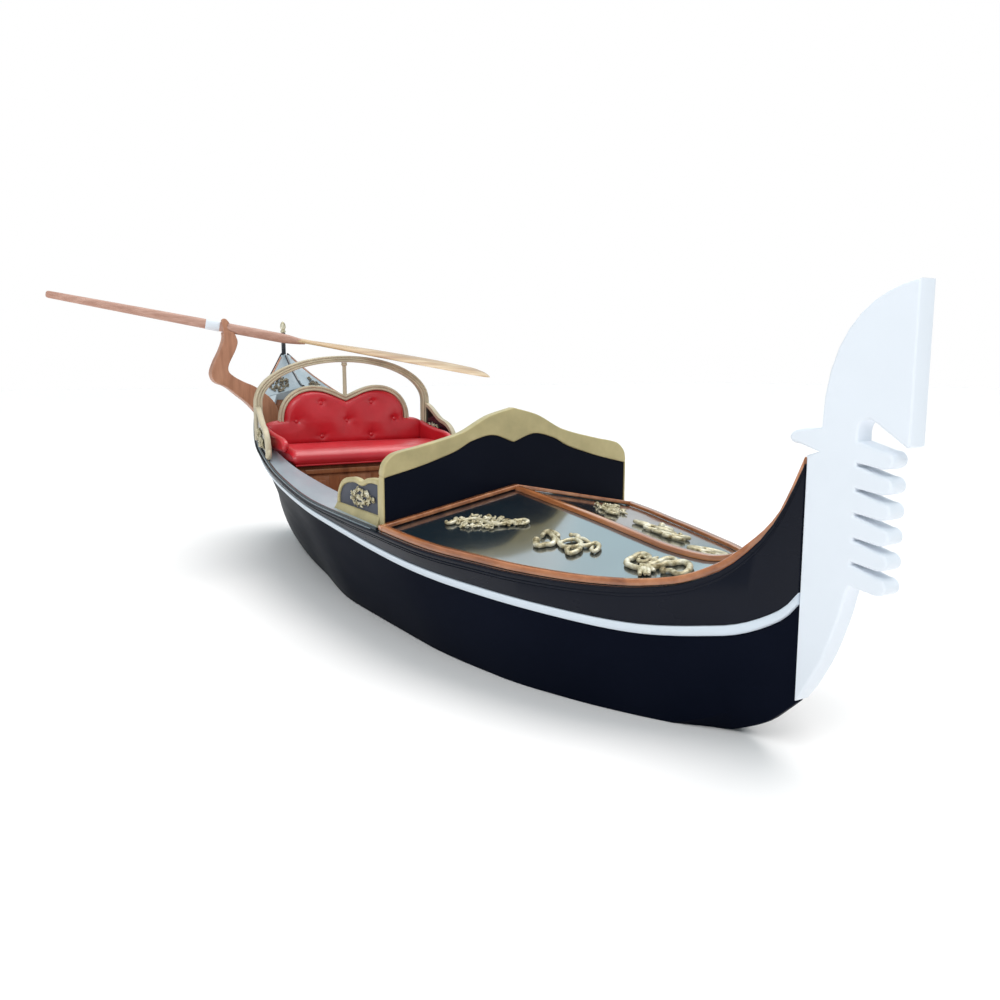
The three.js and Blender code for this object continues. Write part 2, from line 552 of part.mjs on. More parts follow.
// ---- Oarlock and oar ----
const STUB = { x: -462, y: -122.5, radius: 5, low: 191, high: 232, clearance: 0.1 };
const CROOK = new THREE.Vector3(-459, -200, 409); // where the oar's axis crosses the oarlock
const OAR_TIP = new THREE.Vector3(-345, 275, 320.4);
const OAR_BUTT = new THREE.Vector3(-525, -475, 460.29);
const BLADE_LONG = 355;
const BLADE_ROLL = 8; // degrees that the blade's bow-side edge lies below level
const TILTS = [0, 8, 16, 24]; // degrees of blade lift that the crook is cut for
function stubBore() {
  const radius = STUB.radius + STUB.clearance;
  return new THREE.CylinderGeometry(radius, radius, 80, 32)
    .rotateX(Math.PI / 2).translate(STUB.x, STUB.y, 205);
}
function makeOarlock() {
  const deckZ = sheerZ(STUB.x - 24);
  const block = new THREE.BoxGeometry(22, 15, 26)
    .translate(STUB.x, STUB.y, sheerZ(STUB.x + 11) - DECK - 13 - 1.5);
  add("oarlock_socket", shown(solid(block).subtract(solid(stubBore()))), WALNUT);
  const stub = new THREE.CylinderGeometry(STUB.radius, STUB.radius, STUB.high - STUB.low, 32)
    .rotateX(Math.PI / 2);
  add("oarlock_stub", stub, BEECH, [STUB.x, STUB.y, (STUB.high + STUB.low) / 2]);
  const edge = new THREE.Shape();
  edge.moveTo(STUB.y + 13, deckZ + 1);
  edge.splineThru([[-112, 262], [-124, 283], [-151, 304], [-172, 313.5], [-189, 323], [-198.5, 333],
    [-196, 347], [-186, 366], [-180.5, 381], [-181, 388], [-186, 401]]
    .map(([y, z]) => new THREE.Vector2(y, z)));
  edge.lineTo(-204, 401);
  edge.splineThru([[-203.5, 390], [-210.8, 370], [-222.5, 347], [-228.4, 328], [-222, 313],
    [-203, 304.5], [-183.5, 288.5], [-167, 275], [-150, 256], [-138, 238], [STUB.y - 13, deckZ + 1]]
    .map(([y, z]) => new THREE.Vector2(y, z)));
  const middle = (STUB.x + CROOK.x) / 2;
  const body = solid(boardAcross(edge, 26, 3).translate(middle - 13, 0, 0));
  const horn = new THREE.Shape();
  horn.moveTo(-203, 384);
  horn.lineTo(-183, 384);
  horn.splineThru([[-186, 401], [-190, 412], [-198, 422.5], [-203, 424], [-207, 420], [-205, 408],
    [-203.5, 386]].map(([y, z]) => new THREE.Vector2(y, z)));
  const prong = solid(boardAcross(horn, 8, 2).translate(middle + 4, 0, 0));
  const along = OAR_TIP.clone().sub(OAR_BUTT).normalize();
  const aside = new THREE.Vector3(0, 0, 1).cross(along).normalize();
  let lock = body.add(prong).subtract(solid(stubBore().translate(0, 0, STUB.high - 245 + GAP)));
  for (const tilt of TILTS) {
    const turn = new THREE.Quaternion().setFromUnitVectors(new THREE.Vector3(0, 1, 0), along);
    turn.premultiply(new THREE.Quaternion().setFromAxisAngle(aside, (-tilt * Math.PI) / 180));
    const oar = new THREE.CylinderGeometry(OAR_R + 0.8, OAR_R + 0.8, 130, 24)
      .applyQuaternion(turn).translate(CROOK.x, CROOK.y, CROOK.z);
    lock = lock.subtract(solid(oar));
  }
  add("oarlock", shown(lock), BEECH);
}
function makeOar() {
  const along = OAR_TIP.clone().sub(OAR_BUTT);
  const long = along.length();
  const forward = along.clone().normalize();
  const level = forward.clone().cross(new THREE.Vector3(0, 0, 1)).normalize();
  const up = level.clone().cross(forward);
  const oar = new THREE.Group();
  oar.position.copy(OAR_BUTT);
  oar.quaternion.setFromRotationMatrix(new THREE.Matrix4().makeBasis(level, forward, up));
  oar.rotateY((BLADE_ROLL * Math.PI) / 180);
  model.add(oar);
  const shaftLong = long - BLADE_LONG;
  const profile = [[0, 0], [5, 0], [6, 3], [6.6, 60], [OAR_R, 250], [OAR_R, shaftLong - 40],
    [6, shaftLong - 8], [0, shaftLong]].map(([r, y]) => new THREE.Vector2(r, y));
  const shaft = new THREE.Mesh(new THREE.LatheGeometry(profile, 14), BEECH);
  shaft.name = "oar_shaft";
  oar.add(shaft);
  const crookAt = CROOK.distanceTo(OAR_BUTT);
  const inner = OAR_R + 0.15;
  const collar = new THREE.LatheGeometry([[inner, 0], [OAR_R + 1, 0], [OAR_R + 1, 24], [inner, 24],
    [inner, 0]].map(([r, y]) => new THREE.Vector2(r, y)), 28);
  const band = new THREE.Mesh(collar, WHITE);
  band.name = "oar_collar";
  band.position.y = crookAt - 24 - 17;
  oar.add(band);
  const blade = new THREE.Shape();
  blade.moveTo(-7, 0);
  blade.bezierCurveTo(-16, 60, -22, 150, -22, 250);
  blade.bezierCurveTo(-22, 320, -12, 345, 0, BLADE_LONG);
  blade.bezierCurveTo(12, 345, 22, 320, 22, 250);
  blade.bezierCurveTo(22, 150, 16, 60, 7, 0);
  const sheet = new THREE.Mesh(extruded(blade, 7, 8).translate(0, 0, -3.5), BEECH);
  sheet.name = "oar_blade";
  sheet.position.y = shaftLong + GAP;
  oar.add(sheet);
}

makeHull();
makeSideStrips();
makeForedeck();
makeScrolls();
makeScreenRail();
makeSideDecks();
makeAftDeck();
makeInside();
makeBowIron();
makeScreen();
makeCheeks();
makeSeat();
makeArch();
makeSternPost();
makeOarlock();
makeOar();

export default model;
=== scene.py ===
import json
from math import atan2, ceil, cos, exp, hypot, pi, radians, sin, sqrt
import bmesh
import bpy
from mathutils import Matrix, Vector


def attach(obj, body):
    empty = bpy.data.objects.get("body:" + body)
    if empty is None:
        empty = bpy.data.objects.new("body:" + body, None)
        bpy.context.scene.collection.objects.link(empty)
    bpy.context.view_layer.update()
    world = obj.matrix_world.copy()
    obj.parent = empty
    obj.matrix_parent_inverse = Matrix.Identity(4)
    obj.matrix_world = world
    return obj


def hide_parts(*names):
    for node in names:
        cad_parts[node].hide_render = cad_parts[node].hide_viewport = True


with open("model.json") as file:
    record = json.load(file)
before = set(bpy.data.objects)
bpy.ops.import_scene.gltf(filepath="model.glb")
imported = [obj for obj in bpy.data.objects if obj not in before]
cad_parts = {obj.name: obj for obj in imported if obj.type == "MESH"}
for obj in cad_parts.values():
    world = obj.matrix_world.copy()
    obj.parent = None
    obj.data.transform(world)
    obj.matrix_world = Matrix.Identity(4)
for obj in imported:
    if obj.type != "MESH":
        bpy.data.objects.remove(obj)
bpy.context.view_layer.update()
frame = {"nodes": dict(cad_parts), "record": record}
MM = 0.001


# ---- Camera, floor and light ----
def add(name, data, place=(0, 0, 0), aim=None, **values):
    """Adds a camera, lamp or mesh, looking along aim, with values set on its data."""
    made = bpy.data.objects.new(name, data)
    bpy.context.collection.objects.link(made)
    made.location = place
    if aim:
        made.rotation_euler = Vector(aim).to_track_quat("-Z", "Y").to_euler()
    for key, value in values.items():
        setattr(data, key, value)
    return made


def add_lamp(name, kind, place, aim, energy, **values):
    return add(name, bpy.data.lights.new(name, kind), place, aim, energy=energy, **values)


def make_floor():
    reach = 14
    sheet = bpy.data.meshes.new("floor")
    sheet.from_pydata([(-reach, -reach, 0), (reach, -reach, 0), (reach, reach, 0), (-reach, reach, 0)],
                      [], [(0, 1, 2, 3)])
    pale = bpy.data.materials.new("pale_floor")
    pale.use_nodes = True
    shader = pale.node_tree.nodes["Principled BSDF"]
    shader.inputs["Base Color"].default_value = (1.0, 0.965, 0.955, 1)
    shader.inputs["Roughness"].default_value = 0.9
    shader.inputs["Specular IOR Level"].default_value = 0.1
    sheet.materials.append(pale)
    add("floor", sheet)


def make_sky():
    """White to the camera, and pale with soft blue-grey clouds to everything it lights."""
    world = bpy.data.worlds.new("studio")
    bpy.context.scene.world = world
    world.use_nodes = True
    tree = world.node_tree
    background = tree.nodes["Background"]
    background.inputs["Color"].default_value = (1, 1, 1, 1)
    sky = tree.nodes.new("ShaderNodeBackground")
    sky.inputs["Strength"].default_value = 0.66
    place = tree.nodes.new("ShaderNodeTexCoord")
    cloud = tree.nodes.new("ShaderNodeTexNoise")
    cloud.inputs["Scale"].default_value = 3.2
    cloud.inputs["Detail"].default_value = 3.0
    tint = tree.nodes.new("ShaderNodeValToRGB")
    cloudy, clear = tint.color_ramp.elements
    cloudy.position, cloudy.color = 0.45, (0.58, 0.76, 0.82, 1)
    clear.position, clear.color = 0.58, (1, 1, 1, 1)
    ray = tree.nodes.new("ShaderNodeLightPath")
    pick = tree.nodes.new("ShaderNodeMixShader")
    for source, target in (
            (place.outputs["Generated"], cloud.inputs["Vector"]),
            (cloud.outputs["Fac"], tint.inputs["Fac"]),
            (tint.outputs["Color"], sky.inputs["Color"]),
            (ray.outputs["Is Camera Ray"], pick.inputs["Fac"]),
            (sky.outputs["Background"], pick.inputs[1]),
            (background.outputs["Background"], pick.inputs[2]),
            (pick.outputs["Shader"], tree.nodes["World Output"].inputs["Surface"])):
        tree.links.new(source, target)


def make_stage():
    bpy.context.scene.camera = add(
        "camera", bpy.data.cameras.new("camera"), (1.1799, -0.6070, 0.3391), (-0.85069, 0.50503, -0.14582),
        lens=32.4, sensor_width=36, clip_start=0.01)
    make_floor()
    make_sky()
    add_lamp("overhead", "SUN", (0, 0, 0), (0.1, -0.3, -0.95), 1.7, color=(1, 0.97, 0.95),
             angle=radians(50))
    add_lamp("key", "AREA", (1.6, -1.4, 2.2), (-1.5, 1.2, -2.0), 26, size=1.4)
    card = add_lamp("back_card", "AREA", (-2.0, 1.55, 1.95), (2.45, -1.6, -1.8), 8.5, shape="RECTANGLE",
                    size=2.6, size_y=1.7, color=(0.72, 0.93, 1))
    card.visible_camera = False
    bpy.context.scene.view_settings.view_transform = "Standard"


make_stage()


# ---- Materials ----
class Look:
    """A Principled material with helpers for its procedural nodes."""

    def __init__(self, name, color, roughness, metallic=0.0, coat=0.0, specular=0.5, **more):
        self.material = bpy.data.materials.new(name)
        self.material.use_nodes = True
        self.tree = self.material.node_tree
        self.shader = self.tree.nodes["Principled BSDF"]
        self.place = self.tree.nodes.new("ShaderNodeTexCoord").outputs["Object"]
        self.set(self.shader, Base_Color=(*color, 1), Roughness=roughness, Metallic=metallic,
                 Coat_Weight=coat, Specular_IOR_Level=specular, **{"Coat_Roughness": 0.06, **more})

    def set(self, node, **values):
        """Sets a node's sockets; an underscore in a key stands for a space."""
        for key, value in values.items():
            node.inputs[key.replace("_", " ")].default_value = value

    def node(self, kind, source, socket, **values):
        """Adds a node fed by source."""
        made = self.tree.nodes.new(kind)
        self.set(made, **values)
        self.tree.links.new(source, made.inputs[socket])
        return made

    def noise(self, scale, stretch=(1, 1, 1), detail=4.0, rough=0.55):
        mapping = self.node("ShaderNodeMapping", self.place, "Vector", Scale=stretch)
        return self.node("ShaderNodeTexNoise", mapping.outputs["Vector"], "Vector", Scale=scale,
                         Detail=detail, Roughness=rough).outputs["Fac"]

    def color(self, factor, *stops):
        """Colours the surface by a ramp of (position, color) stops."""
        made = self.node("ShaderNodeValToRGB", factor, "Fac")
        line = made.color_ramp.elements
        line[0].position, line[0].color = stops[0][0], (*stops[0][1], 1)
        line[1].position, line[1].color = stops[-1][0], (*stops[-1][1], 1)
        for at, color in stops[1:-1]:
            line.new(at).color = (*color, 1)
        self.tree.links.new(made.outputs["Color"], self.shader.inputs["Base Color"])

    def rough(self, factor, low, high):
        made = self.node("ShaderNodeMapRange", factor, "Value", From_Min=0.3, From_Max=0.7, To_Min=low,
                         To_Max=high)
        self.tree.links.new(made.outputs["Result"], self.shader.inputs["Roughness"])

    def bump(self, factor, strength, distance):
        made = self.node("ShaderNodeBump", factor, "Height", Strength=strength, Distance=distance)
        self.tree.links.new(made.outputs["Normal"], self.shader.inputs["Normal"])


# The last argument's two colours give the lacquer's random dark tones; for the fore deck they are teal and
# stand for a painted sky reflection.
def lacquer(name="black_lacquer", specular=0.4, coat=0.5, rough=(0.12, 0.22), bump=0.06,
            tones_and_sheen=((0.0032, 0.0045, 0.0100), (0.0060, 0.0078, 0.0155)), **more):
    look = Look(name, (0.005, 0.007, 0.014), rough[0], coat=coat, specular=specular, **more)
    look.color(look.noise(4.0, detail=3), (0.3, tones_and_sheen[0]), (0.7, tones_and_sheen[1]))
    look.rough(look.noise(10.0, (0.35, 1, 1), 5), *rough)
    look.bump(look.noise(18.0, (0.3, 1, 1), 2), bump, 0.002)
    return look.material


# Pale blue-grey colour on the side and after decks: a painted reflection of the bright sky in their black
# lacquer.
def deck_painted_reflection():
    look = Look("deck_painted_reflection", (0.32, 0.38, 0.42), 0.4, coat=0.4, Coat_Roughness=0.3)
    look.color(look.noise(9.0, (0.4, 1, 1)), (0.3, (0.20, 0.26, 0.30)), (0.7, (0.40, 0.46, 0.50)))
    look.rough(look.noise(26.0), 0.34, 0.48)
    look.bump(look.noise(22.0, (0.4, 1, 1), 3), 0.05, 0.002)
    return look.material


def slate_panel():
    look = Look("slate_panel", (0.055, 0.06, 0.085), 0.5, specular=0.3)
    look.color(look.noise(30.0, detail=6), (0.3, (0.035, 0.04, 0.06)), (0.7, (0.065, 0.07, 0.10)))
    look.rough(look.noise(60.0), 0.42, 0.58)
    look.bump(look.noise(150.0), 0.15, 0.0006)
    return look.material


def white_paint(name="white_paint", tone=(0.79, 0.83, 0.89)):
    look = Look(name, tone, 0.42, specular=0.35)
    look.color(look.noise(7.0, detail=5), (0.3, [c * 0.97 for c in tone]), (0.7, [c * 1.02 for c in tone]))
    look.rough(look.noise(30.0), 0.36, 0.5)
    look.bump(look.noise(120.0, detail=3), 0.05, 0.0006)
    return look.material


def gold_paint(name="gold_paint", tone=(0.50, 0.415, 0.205)):
    look = Look(name, tone, 0.45, metallic=0.1)
    look.color(look.noise(24.0, detail=6), (0.28, [c * 0.8 for c in tone]), (0.5, tone),
               (0.75, [c * 1.17 + 0.02 for c in tone]))
    look.rough(look.noise(60.0), 0.36, 0.55)
    look.bump(look.noise(180.0, detail=3), 0.12, 0.0006)
    return look.material


def gilding(name="gilding", dark=(0.16, 0.115, 0.045), middle=(0.52, 0.45, 0.28), light=(0.86, 0.81, 0.66)):
    look = Look(name, middle, 0.38, metallic=0.35)
    look.color(look.noise(95.0, detail=6, rough=0.65), (0.34, dark), (0.47, middle), (0.66, light))
    look.rough(look.noise(140.0), 0.28, 0.5)
    look.bump(look.noise(260.0), 0.3, 0.0008)
    return look.material


def wood(name, dark, middle, light, stretch, roughness=(0.25, 0.4), coat=0.25, scale=60.0):
    look = Look(name, middle, roughness[0], coat=coat, specular=0.45)
    grain = look.noise(scale, stretch, 8, 0.6)
    look.color(grain, (0.3, dark), (0.5, middle), (0.7, light))
    look.rough(look.noise(scale * 0.7, stretch, 4), *roughness)
    look.bump(grain, 0.1, 0.0008)
    return look.material


def red_leather():
    look = Look("red_leather", (0.58, 0.014, 0.024), 0.34, coat=0.45, specular=0.45, Coat_Roughness=0.3)
    look.color(look.noise(14.0, detail=5), (0.3, (0.50, 0.010, 0.018)), (0.5, (0.59, 0.014, 0.025)),
               (0.75, (0.68, 0.024, 0.036)))
    look.rough(look.noise(45.0), 0.3, 0.44)
    cells = look.node("ShaderNodeTexVoronoi", look.place, "Vector", Scale=620.0)
    look.bump(cells.outputs["Distance"], 0.15, 0.0004)
    return look.material


DARK_WALNUT = (0.10, 0.022, 0.009), (0.20, 0.055, 0.02), (0.30, 0.09, 0.035)
LOOKS = {
    "black_lacquer": lacquer(),
    "hull_lacquer": lacquer("hull_lacquer", 0.005, 0.0, (0.28, 0.4), 0.03),
    "strake_lacquer": lacquer("strake_lacquer", 0.13, 0.0, (0.22, 0.32), 0.03),
    "screen_lacquer": lacquer("screen_lacquer", 0.05, 0.0, (0.28, 0.4), 0.02),
    # The fore deck's teal cloud tones are a painted sky reflection in the lacquer.
    "deck_lacquer": lacquer("deck_lacquer", 1.0, 1.0, (0.16, 0.26), 0.06,
                            ((0.003, 0.006, 0.012), (0.010, 0.024, 0.032)),
                            IOR=1.9, Coat_IOR=2.1, Coat_Roughness=0.08),
    "deck_painted_reflection": deck_painted_reflection(),
    "slate_panel": slate_panel(),
    "white_paint": white_paint(),
    # A darker copy of the white paint: painted shade on the rubbing stripes along the hull's sides.
    "shaded_stripe_paint": white_paint("shaded_stripe_paint", (0.66, 0.725, 0.80)),
    "gold_paint": gold_paint(),
    # A paler copy of the gold paint: painted light on the arch, its prop, the wing rims and the seat back's
    # frame and moulding.
    "gold_painted_light": gold_paint("gold_painted_light", (0.58, 0.50, 0.35)),
    "gilt": gilding(),
    # A darker copy of the gilding: painted shade on the after deck's ornaments, which stand dark against the
    # bright deck.
    "gilt_painted_shade": gilding("gilt_painted_shade", (0.03, 0.022, 0.012), (0.13, 0.10, 0.06), (0.36, 0.31, 0.22)),
    "mahogany": wood("mahogany", (0.24, 0.07, 0.022), (0.43, 0.15, 0.053), (0.57, 0.235, 0.10),
                     (0.12, 1, 1), (0.16, 0.3), 0.9),
    "walnut": wood("walnut", *DARK_WALNUT, (1, 1, 0.12)),
    # A lighter copy of the walnut: painted light that brightens the seat base's shaded front.
    "seat_wood_painted_light": wood("seat_wood_painted_light", (0.19, 0.055, 0.022), (0.35, 0.12, 0.05), (0.47, 0.19, 0.085),
                      (1, 1, 0.12)),
    "floor_wood": wood("floor_wood", *DARK_WALNUT, (0.08, 1, 1)),
    "beech": wood("beech", (0.36, 0.155, 0.085), (0.47, 0.215, 0.125), (0.56, 0.28, 0.17), (1, 1, 0.14),
                  (0.4, 0.55), 0.05, 90.0),
    "oar_wood": wood("oar_wood", (0.42, 0.21, 0.15), (0.51, 0.28, 0.21), (0.60, 0.36, 0.28), (1, 0.06, 1),
                     (0.4, 0.55), 0.05, 150.0),
    "blade_wood": wood("blade_wood", (0.30, 0.13, 0.045), (0.52, 0.32, 0.15), (0.72, 0.55, 0.34),
                       (1, 0.06, 1), (0.3, 0.45), 0.2, 90.0),
    "red_leather": red_leather(),
}
# Looks that stand in for another look's slot. Several are copies of the slot's material with painted light,
# shade or sky reflection in their colour.
SLOT_OF = {
    **dict.fromkeys(("hull_lacquer", "screen_lacquer", "strake_lacquer", "deck_lacquer", "deck_painted_reflection",
                     "slate_panel"), "black_lacquer"),
    "gilt_painted_shade": "gilt", "shaded_stripe_paint": "white_paint", "gold_painted_light": "gold_paint",
    "oar_wood": "beech", "blade_wood": "beech", "floor_wood": "walnut", "seat_wood_painted_light": "walnut"}


# ---- Mesh helpers, all in millimetres ----
def through(points):
    """A smooth function through (x, value) pairs, with slopes that never overshoot."""
    n = len(points)
    grade = [(points[i + 1][1] - points[i][1]) / (points[i + 1][0] - points[i][0]) for i in range(n - 1)]
    slope = [grade[0]]
    for before, after in zip(grade, grade[1:]):
        slope.append(0 if before * after <= 0 else 2 * before * after / (before + after))
    slope.append(grade[-1])

    def value(x):
        i = 0
        while i < n - 2 and x > points[i + 1][0]:
            i += 1
        width = points[i + 1][0] - points[i][0]
        t = min(1, max(0, (x - points[i][0]) / width))
        u = 1 - t
        return (points[i][1] * u * u * (1 + 2 * t) + points[i + 1][1] * t * t * (3 - 2 * t)
                + width * t * u * (slope[i] * u - slope[i + 1] * t))

    return value


def spread(a, b, step):
    count = max(1, ceil(abs(b - a) / step))
    return [a + (b - a) * i / count for i in range(count + 1)]


def finish(name, shape, look, body="hull", replaces=(), angle=40):
    """Turns a bmesh in millimetres into a piece of the model."""
    bmesh.ops.remove_doubles(shape, verts=shape.verts, dist=0.001)
    bmesh.ops.recalc_face_normals(shape, faces=shape.faces)
    bmesh.ops.scale(shape, vec=(MM, MM, MM), verts=shape.verts)
    limit = radians(angle)
    for edge in shape.edges:
        edge.smooth = (len(edge.link_faces) == 2 and edge.calc_face_angle(0) < limit
                       and not any(len(face.verts) > 4 for face in edge.link_faces))
    for face in shape.faces:
        face.smooth = True
    mesh = bpy.data.meshes.new(name)
    shape.to_mesh(mesh)
    shape.free()
    piece = bpy.data.objects.new(name, mesh)
    bpy.context.collection.objects.link(piece)
    mesh.materials.append(LOOKS[look])
    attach(piece, body)
    if replaces:
        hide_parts(*replaces)
    SLOT_OF.get(look, look)
    return piece


def add_loft(shape, rings, capped=True):
    """A skin through rings of (x, y, z) points."""
    rows = [[shape.verts.new(p) for p in ring] for ring in rings]
    n = len(rows[0])
    for a, b in zip(rows, rows[1:]):
        for j in range(n):
            k = (j + 1) % n
            shape.faces.new((a[j], a[k], b[k], b[j]))
    if capped:
        shape.faces.new(rows[0][::-1])
        shape.faces.new(rows[-1])


def build(name, look, add_shape, *values, **rest):
    """A piece made of a single shape."""
    shape = bmesh.new()
    add_shape(shape, *values)
    return finish(name, shape, look, **rest)


def loft(name, xs, ring, look, sign=1, **rest):
    return build(name, look, add_loft, [[(x, y * sign, z) for y, z in ring(x)] for x in xs], **rest)


def smooth_line(points, steps):
    """Catmull-Rom points through the given ones."""
    points = [Vector(p) for p in points]
    last = len(points) - 1
    out = []
    for i in range(last):
        a, b, c, d = (points[min(last, max(0, i + k))] for k in (-1, 0, 1, 2))
        for t in (s / steps for s in range(steps)):
            out.append(0.5 * (2 * b + (c - a) * t + (2 * a - 5 * b + 4 * c - d) * t * t
                              + (3 * b - a - 3 * c + d) * t ** 3))
    return out + [points[-1]]


def trace(start, *moves, steps=9):
    """A flat outline. A move of one point is a line, of two or three a bend, of more a smooth line."""
    out = [Vector(start)]
    for move in moves:
        a = out[-1]
        p = [Vector(q) for q in move]
        ts = [i / steps for i in range(1, steps + 1)]
        if len(p) == 1:
            out.append(p[0])
        elif len(p) == 2:
            out += [a * (1 - t) ** 2 + p[0] * (2 * t * (1 - t)) + p[1] * t * t for t in ts]
        elif len(p) == 3:
            out += [a * (1 - t) ** 3 + p[0] * (3 * t * (1 - t) ** 2) + p[1] * (3 * t * t * (1 - t))
                    + p[2] * t ** 3 for t in ts]
        else:
            out += smooth_line([a] + p, 5)[1:]
    return [(q.x, q.y) for q in out]


def inset(outline, by):
    """The outline moved into its own shape by a distance."""
    n = len(outline)
    area = sum(outline[i - 1][0] * outline[i][1] - outline[i][0] * outline[i - 1][1] for i in range(n))
    turn = 1 if area > 0 else -1
    out = []
    for i in range(n):
        a, b, c = Vector(outline[i - 1]), Vector(outline[i]), Vector(outline[(i + 1) % n])
        u, v = (b - a), (c - b)
        if u.length < 1e-6 or v.length < 1e-6:
            out.append((b.x, b.y))
            continue
        u.normalize()
        v.normalize()
        inward = Vector((-u.y, u.x)) + Vector((-v.y, v.x))
        inward *= turn * by / max(0.35, inward.length_squared / 2)
        out.append((b.x + inward.x, b.y + inward.y))
    return out


def add_board(shape, outline, low, high, place, bevel=1.5, segments=3):
    """A plate with rounded edges: outline is a list of (a, b), place(a, b, t) gives the point."""
    clean = [p for i, p in enumerate(outline) if (Vector(p) - Vector(outline[i - 1])).length > 1e-4]
    bevel = min(bevel, (high - low) / 2)
    rows = []
    for end, sign in ((low, 1), (high, -1)):
        part = []
        for s in range(segments + 1):
            a = pi / 2 * s / segments
            line = inset(clean, bevel * (1 - sin(a))) if bevel else clean
            part.append([place(p[0], p[1], end + sign * bevel * (1 - cos(a))) for p in line])
        rows += part if sign > 0 else part[::-1]
    add_loft(shape, rows)


def add_frame(shape, outer, inner, low, high, place, bevel=1.5):
    """A flat frame between two outlines with as many points each."""
    sections = []
    for o, i in zip(outer, inner):
        o, i = Vector(o), Vector(i)
        f = min(0.4, bevel / max(0.01, (i - o).length))
        g = 0.3 * f
        half = [(o, bevel), (o.lerp(i, g), 0.3 * bevel), (o.lerp(i, f), 0), (i.lerp(o, f), 0),
                (i.lerp(o, g), 0.3 * bevel), (i, bevel)]
        sections.append([place(p.x, p.y, low + t) for p, t in half]
                        + [place(p.x, p.y, high - t) for p, t in half[::-1]])
    add_loft(shape, sections + [sections[0]], capped=False)


def across(a, b, t):
    return (t, a, b)


def along(a, b, t):
    return (a, t, b)


def board(name, outline, low, high, place, look, bevel=1.5, segments=3, **rest):
    return build(name, look, add_board, outline, low, high, place, bevel, segments, **rest)


def corners(y0, z0, y1, z1):
    return [(y0, z0), (y1, z0), (y1, z1), (y0, z1)]


def add_sweep(shape, line, section, up=(0, 0, 1), scale=None):
    """Sweeps section, a list of (side, up) offsets, along line. Ends are closed."""
    line = [Vector(p) for p in line]
    up = Vector(up)
    rings = []
    for i, p in enumerate(line):
        ahead = line[min(i + 1, len(line) - 1)] - line[max(i - 1, 0)]
        ahead.normalize()
        side = ahead.cross(up)
        if side.length < 1e-5:
            side = Vector((1, 0, 0))
        side.normalize()
        top = side.cross(ahead)
        k = scale(i / (len(line) - 1)) if scale else 1
        rings.append([p + side * (s * k) + top * (h * k) for s, h in section])
    add_loft(shape, rings)


def circle(radius, count=12, squash=1.0):
    turns = (2 * pi * i / count for i in range(count))
    return [(radius * cos(a), radius * squash * sin(a)) for a in turns]


def add_turned(shape, profile, center, axis=(0, 0, 1), count=28):
    """A turned piece: profile is a list of (radius, height) along axis from center."""
    axis = Vector(axis).normalized()
    side = axis.orthogonal().normalized()
    other = axis.cross(side)
    center = Vector(center)
    rings = []
    for r, h in profile:
        rings.append([center + axis * h + (side * cos(a) + other * sin(a)) * max(r, 0.02)
                      for a in (2 * pi * i / count for i in range(count))])
    add_loft(shape, rings)


# ---- Hull lines, as in the part ----
GAP = 0.3
SCREEN_X, BOW_X, STERN_X, AFT_DECK_X, ARCH_X = 193, 670, -757, -637, -402
STRAKE, DECK, WALL, STRIPE_HALF, TRIM_WIDE, TRIM_TALL = 4, 4, 7, 5, 9, 5
sheer_half = through([
    (-757, 9), (-700, 58), (-637, 95), (-507, 143), (-367, 177), (-207, 193), (-7, 203), (120, 202),
    (193, 199), (250, 193.5), (313, 182), (370, 167), (433, 148), (483, 128), (533, 100), (570, 71),
    (603, 45), (632, 22), (652, 13), (670, 11)])
sheer_z = through([
    (-757, 370), (-707, 319), (-637, 278), (-507, 236), (-367, 198), (-207, 168), (-7, 151), (193, 146),
    (250, 142.5), (313, 138.5), (370, 137), (433, 135.5), (483, 135.5), (533, 137), (570, 142), (603, 157),
    (632, 188), (652, 222), (670, 260)])
ridge_z = through([
    (133, 191), (193, 189), (298, 180.5), (345, 176.5), (400, 171), (450, 165.5), (496, 161), (527, 160.2),
    (551, 161), (573, 164.5), (593, 172), (613, 182.5), (632, 197), (652, 225), (670, 263)])
chine_half = through([
    (-757, 4), (-707, 35), (-616, 65), (-453, 87), (-251, 106), (-17, 138), (209, 136), (360, 118), (458, 88),
    (515, 63), (562, 38), (600, 18), (670, 8)])
keel_z = through([
    (-757, 290), (-737, 190), (-697, 125), (-616, 74), (-453, 24), (-280, 1.5), (-227, 0), (570, 0), (592, 1),
    (615, 10), (636, 22), (651, 35), (670, 53)])
stripe_z = through([
    (-757, 345), (-637, 253), (-507, 211), (-367, 173), (-190, 149), (-96, 142), (99, 126), (193, 118),
    (313, 109), (463, 101), (543, 97), (606, 104), (655, 128), (670, 145)])
aft_ridge_z = through([(-757, 371), (-695, 327), (-637, 301), (670, 301)])


def outer_half(x, z):
    t = (z - keel_z(x)) / (sheer_z(x) - keel_z(x))
    return chine_half(x) + (sheer_half(x) - STRAKE - chine_half(x)) * t


def deck_edge(x):
    return sheer_half(x) - STRAKE - GAP


def deck_middle(x):
    return ridge_z(x) - TRIM_TALL


def fore_deck_z(x, y):
    t = min(1, abs(y) / deck_edge(x))
    return deck_middle(x) + (sheer_z(x) - deck_middle(x)) * t


SIDES = (("starboard", -1), ("port", 1))


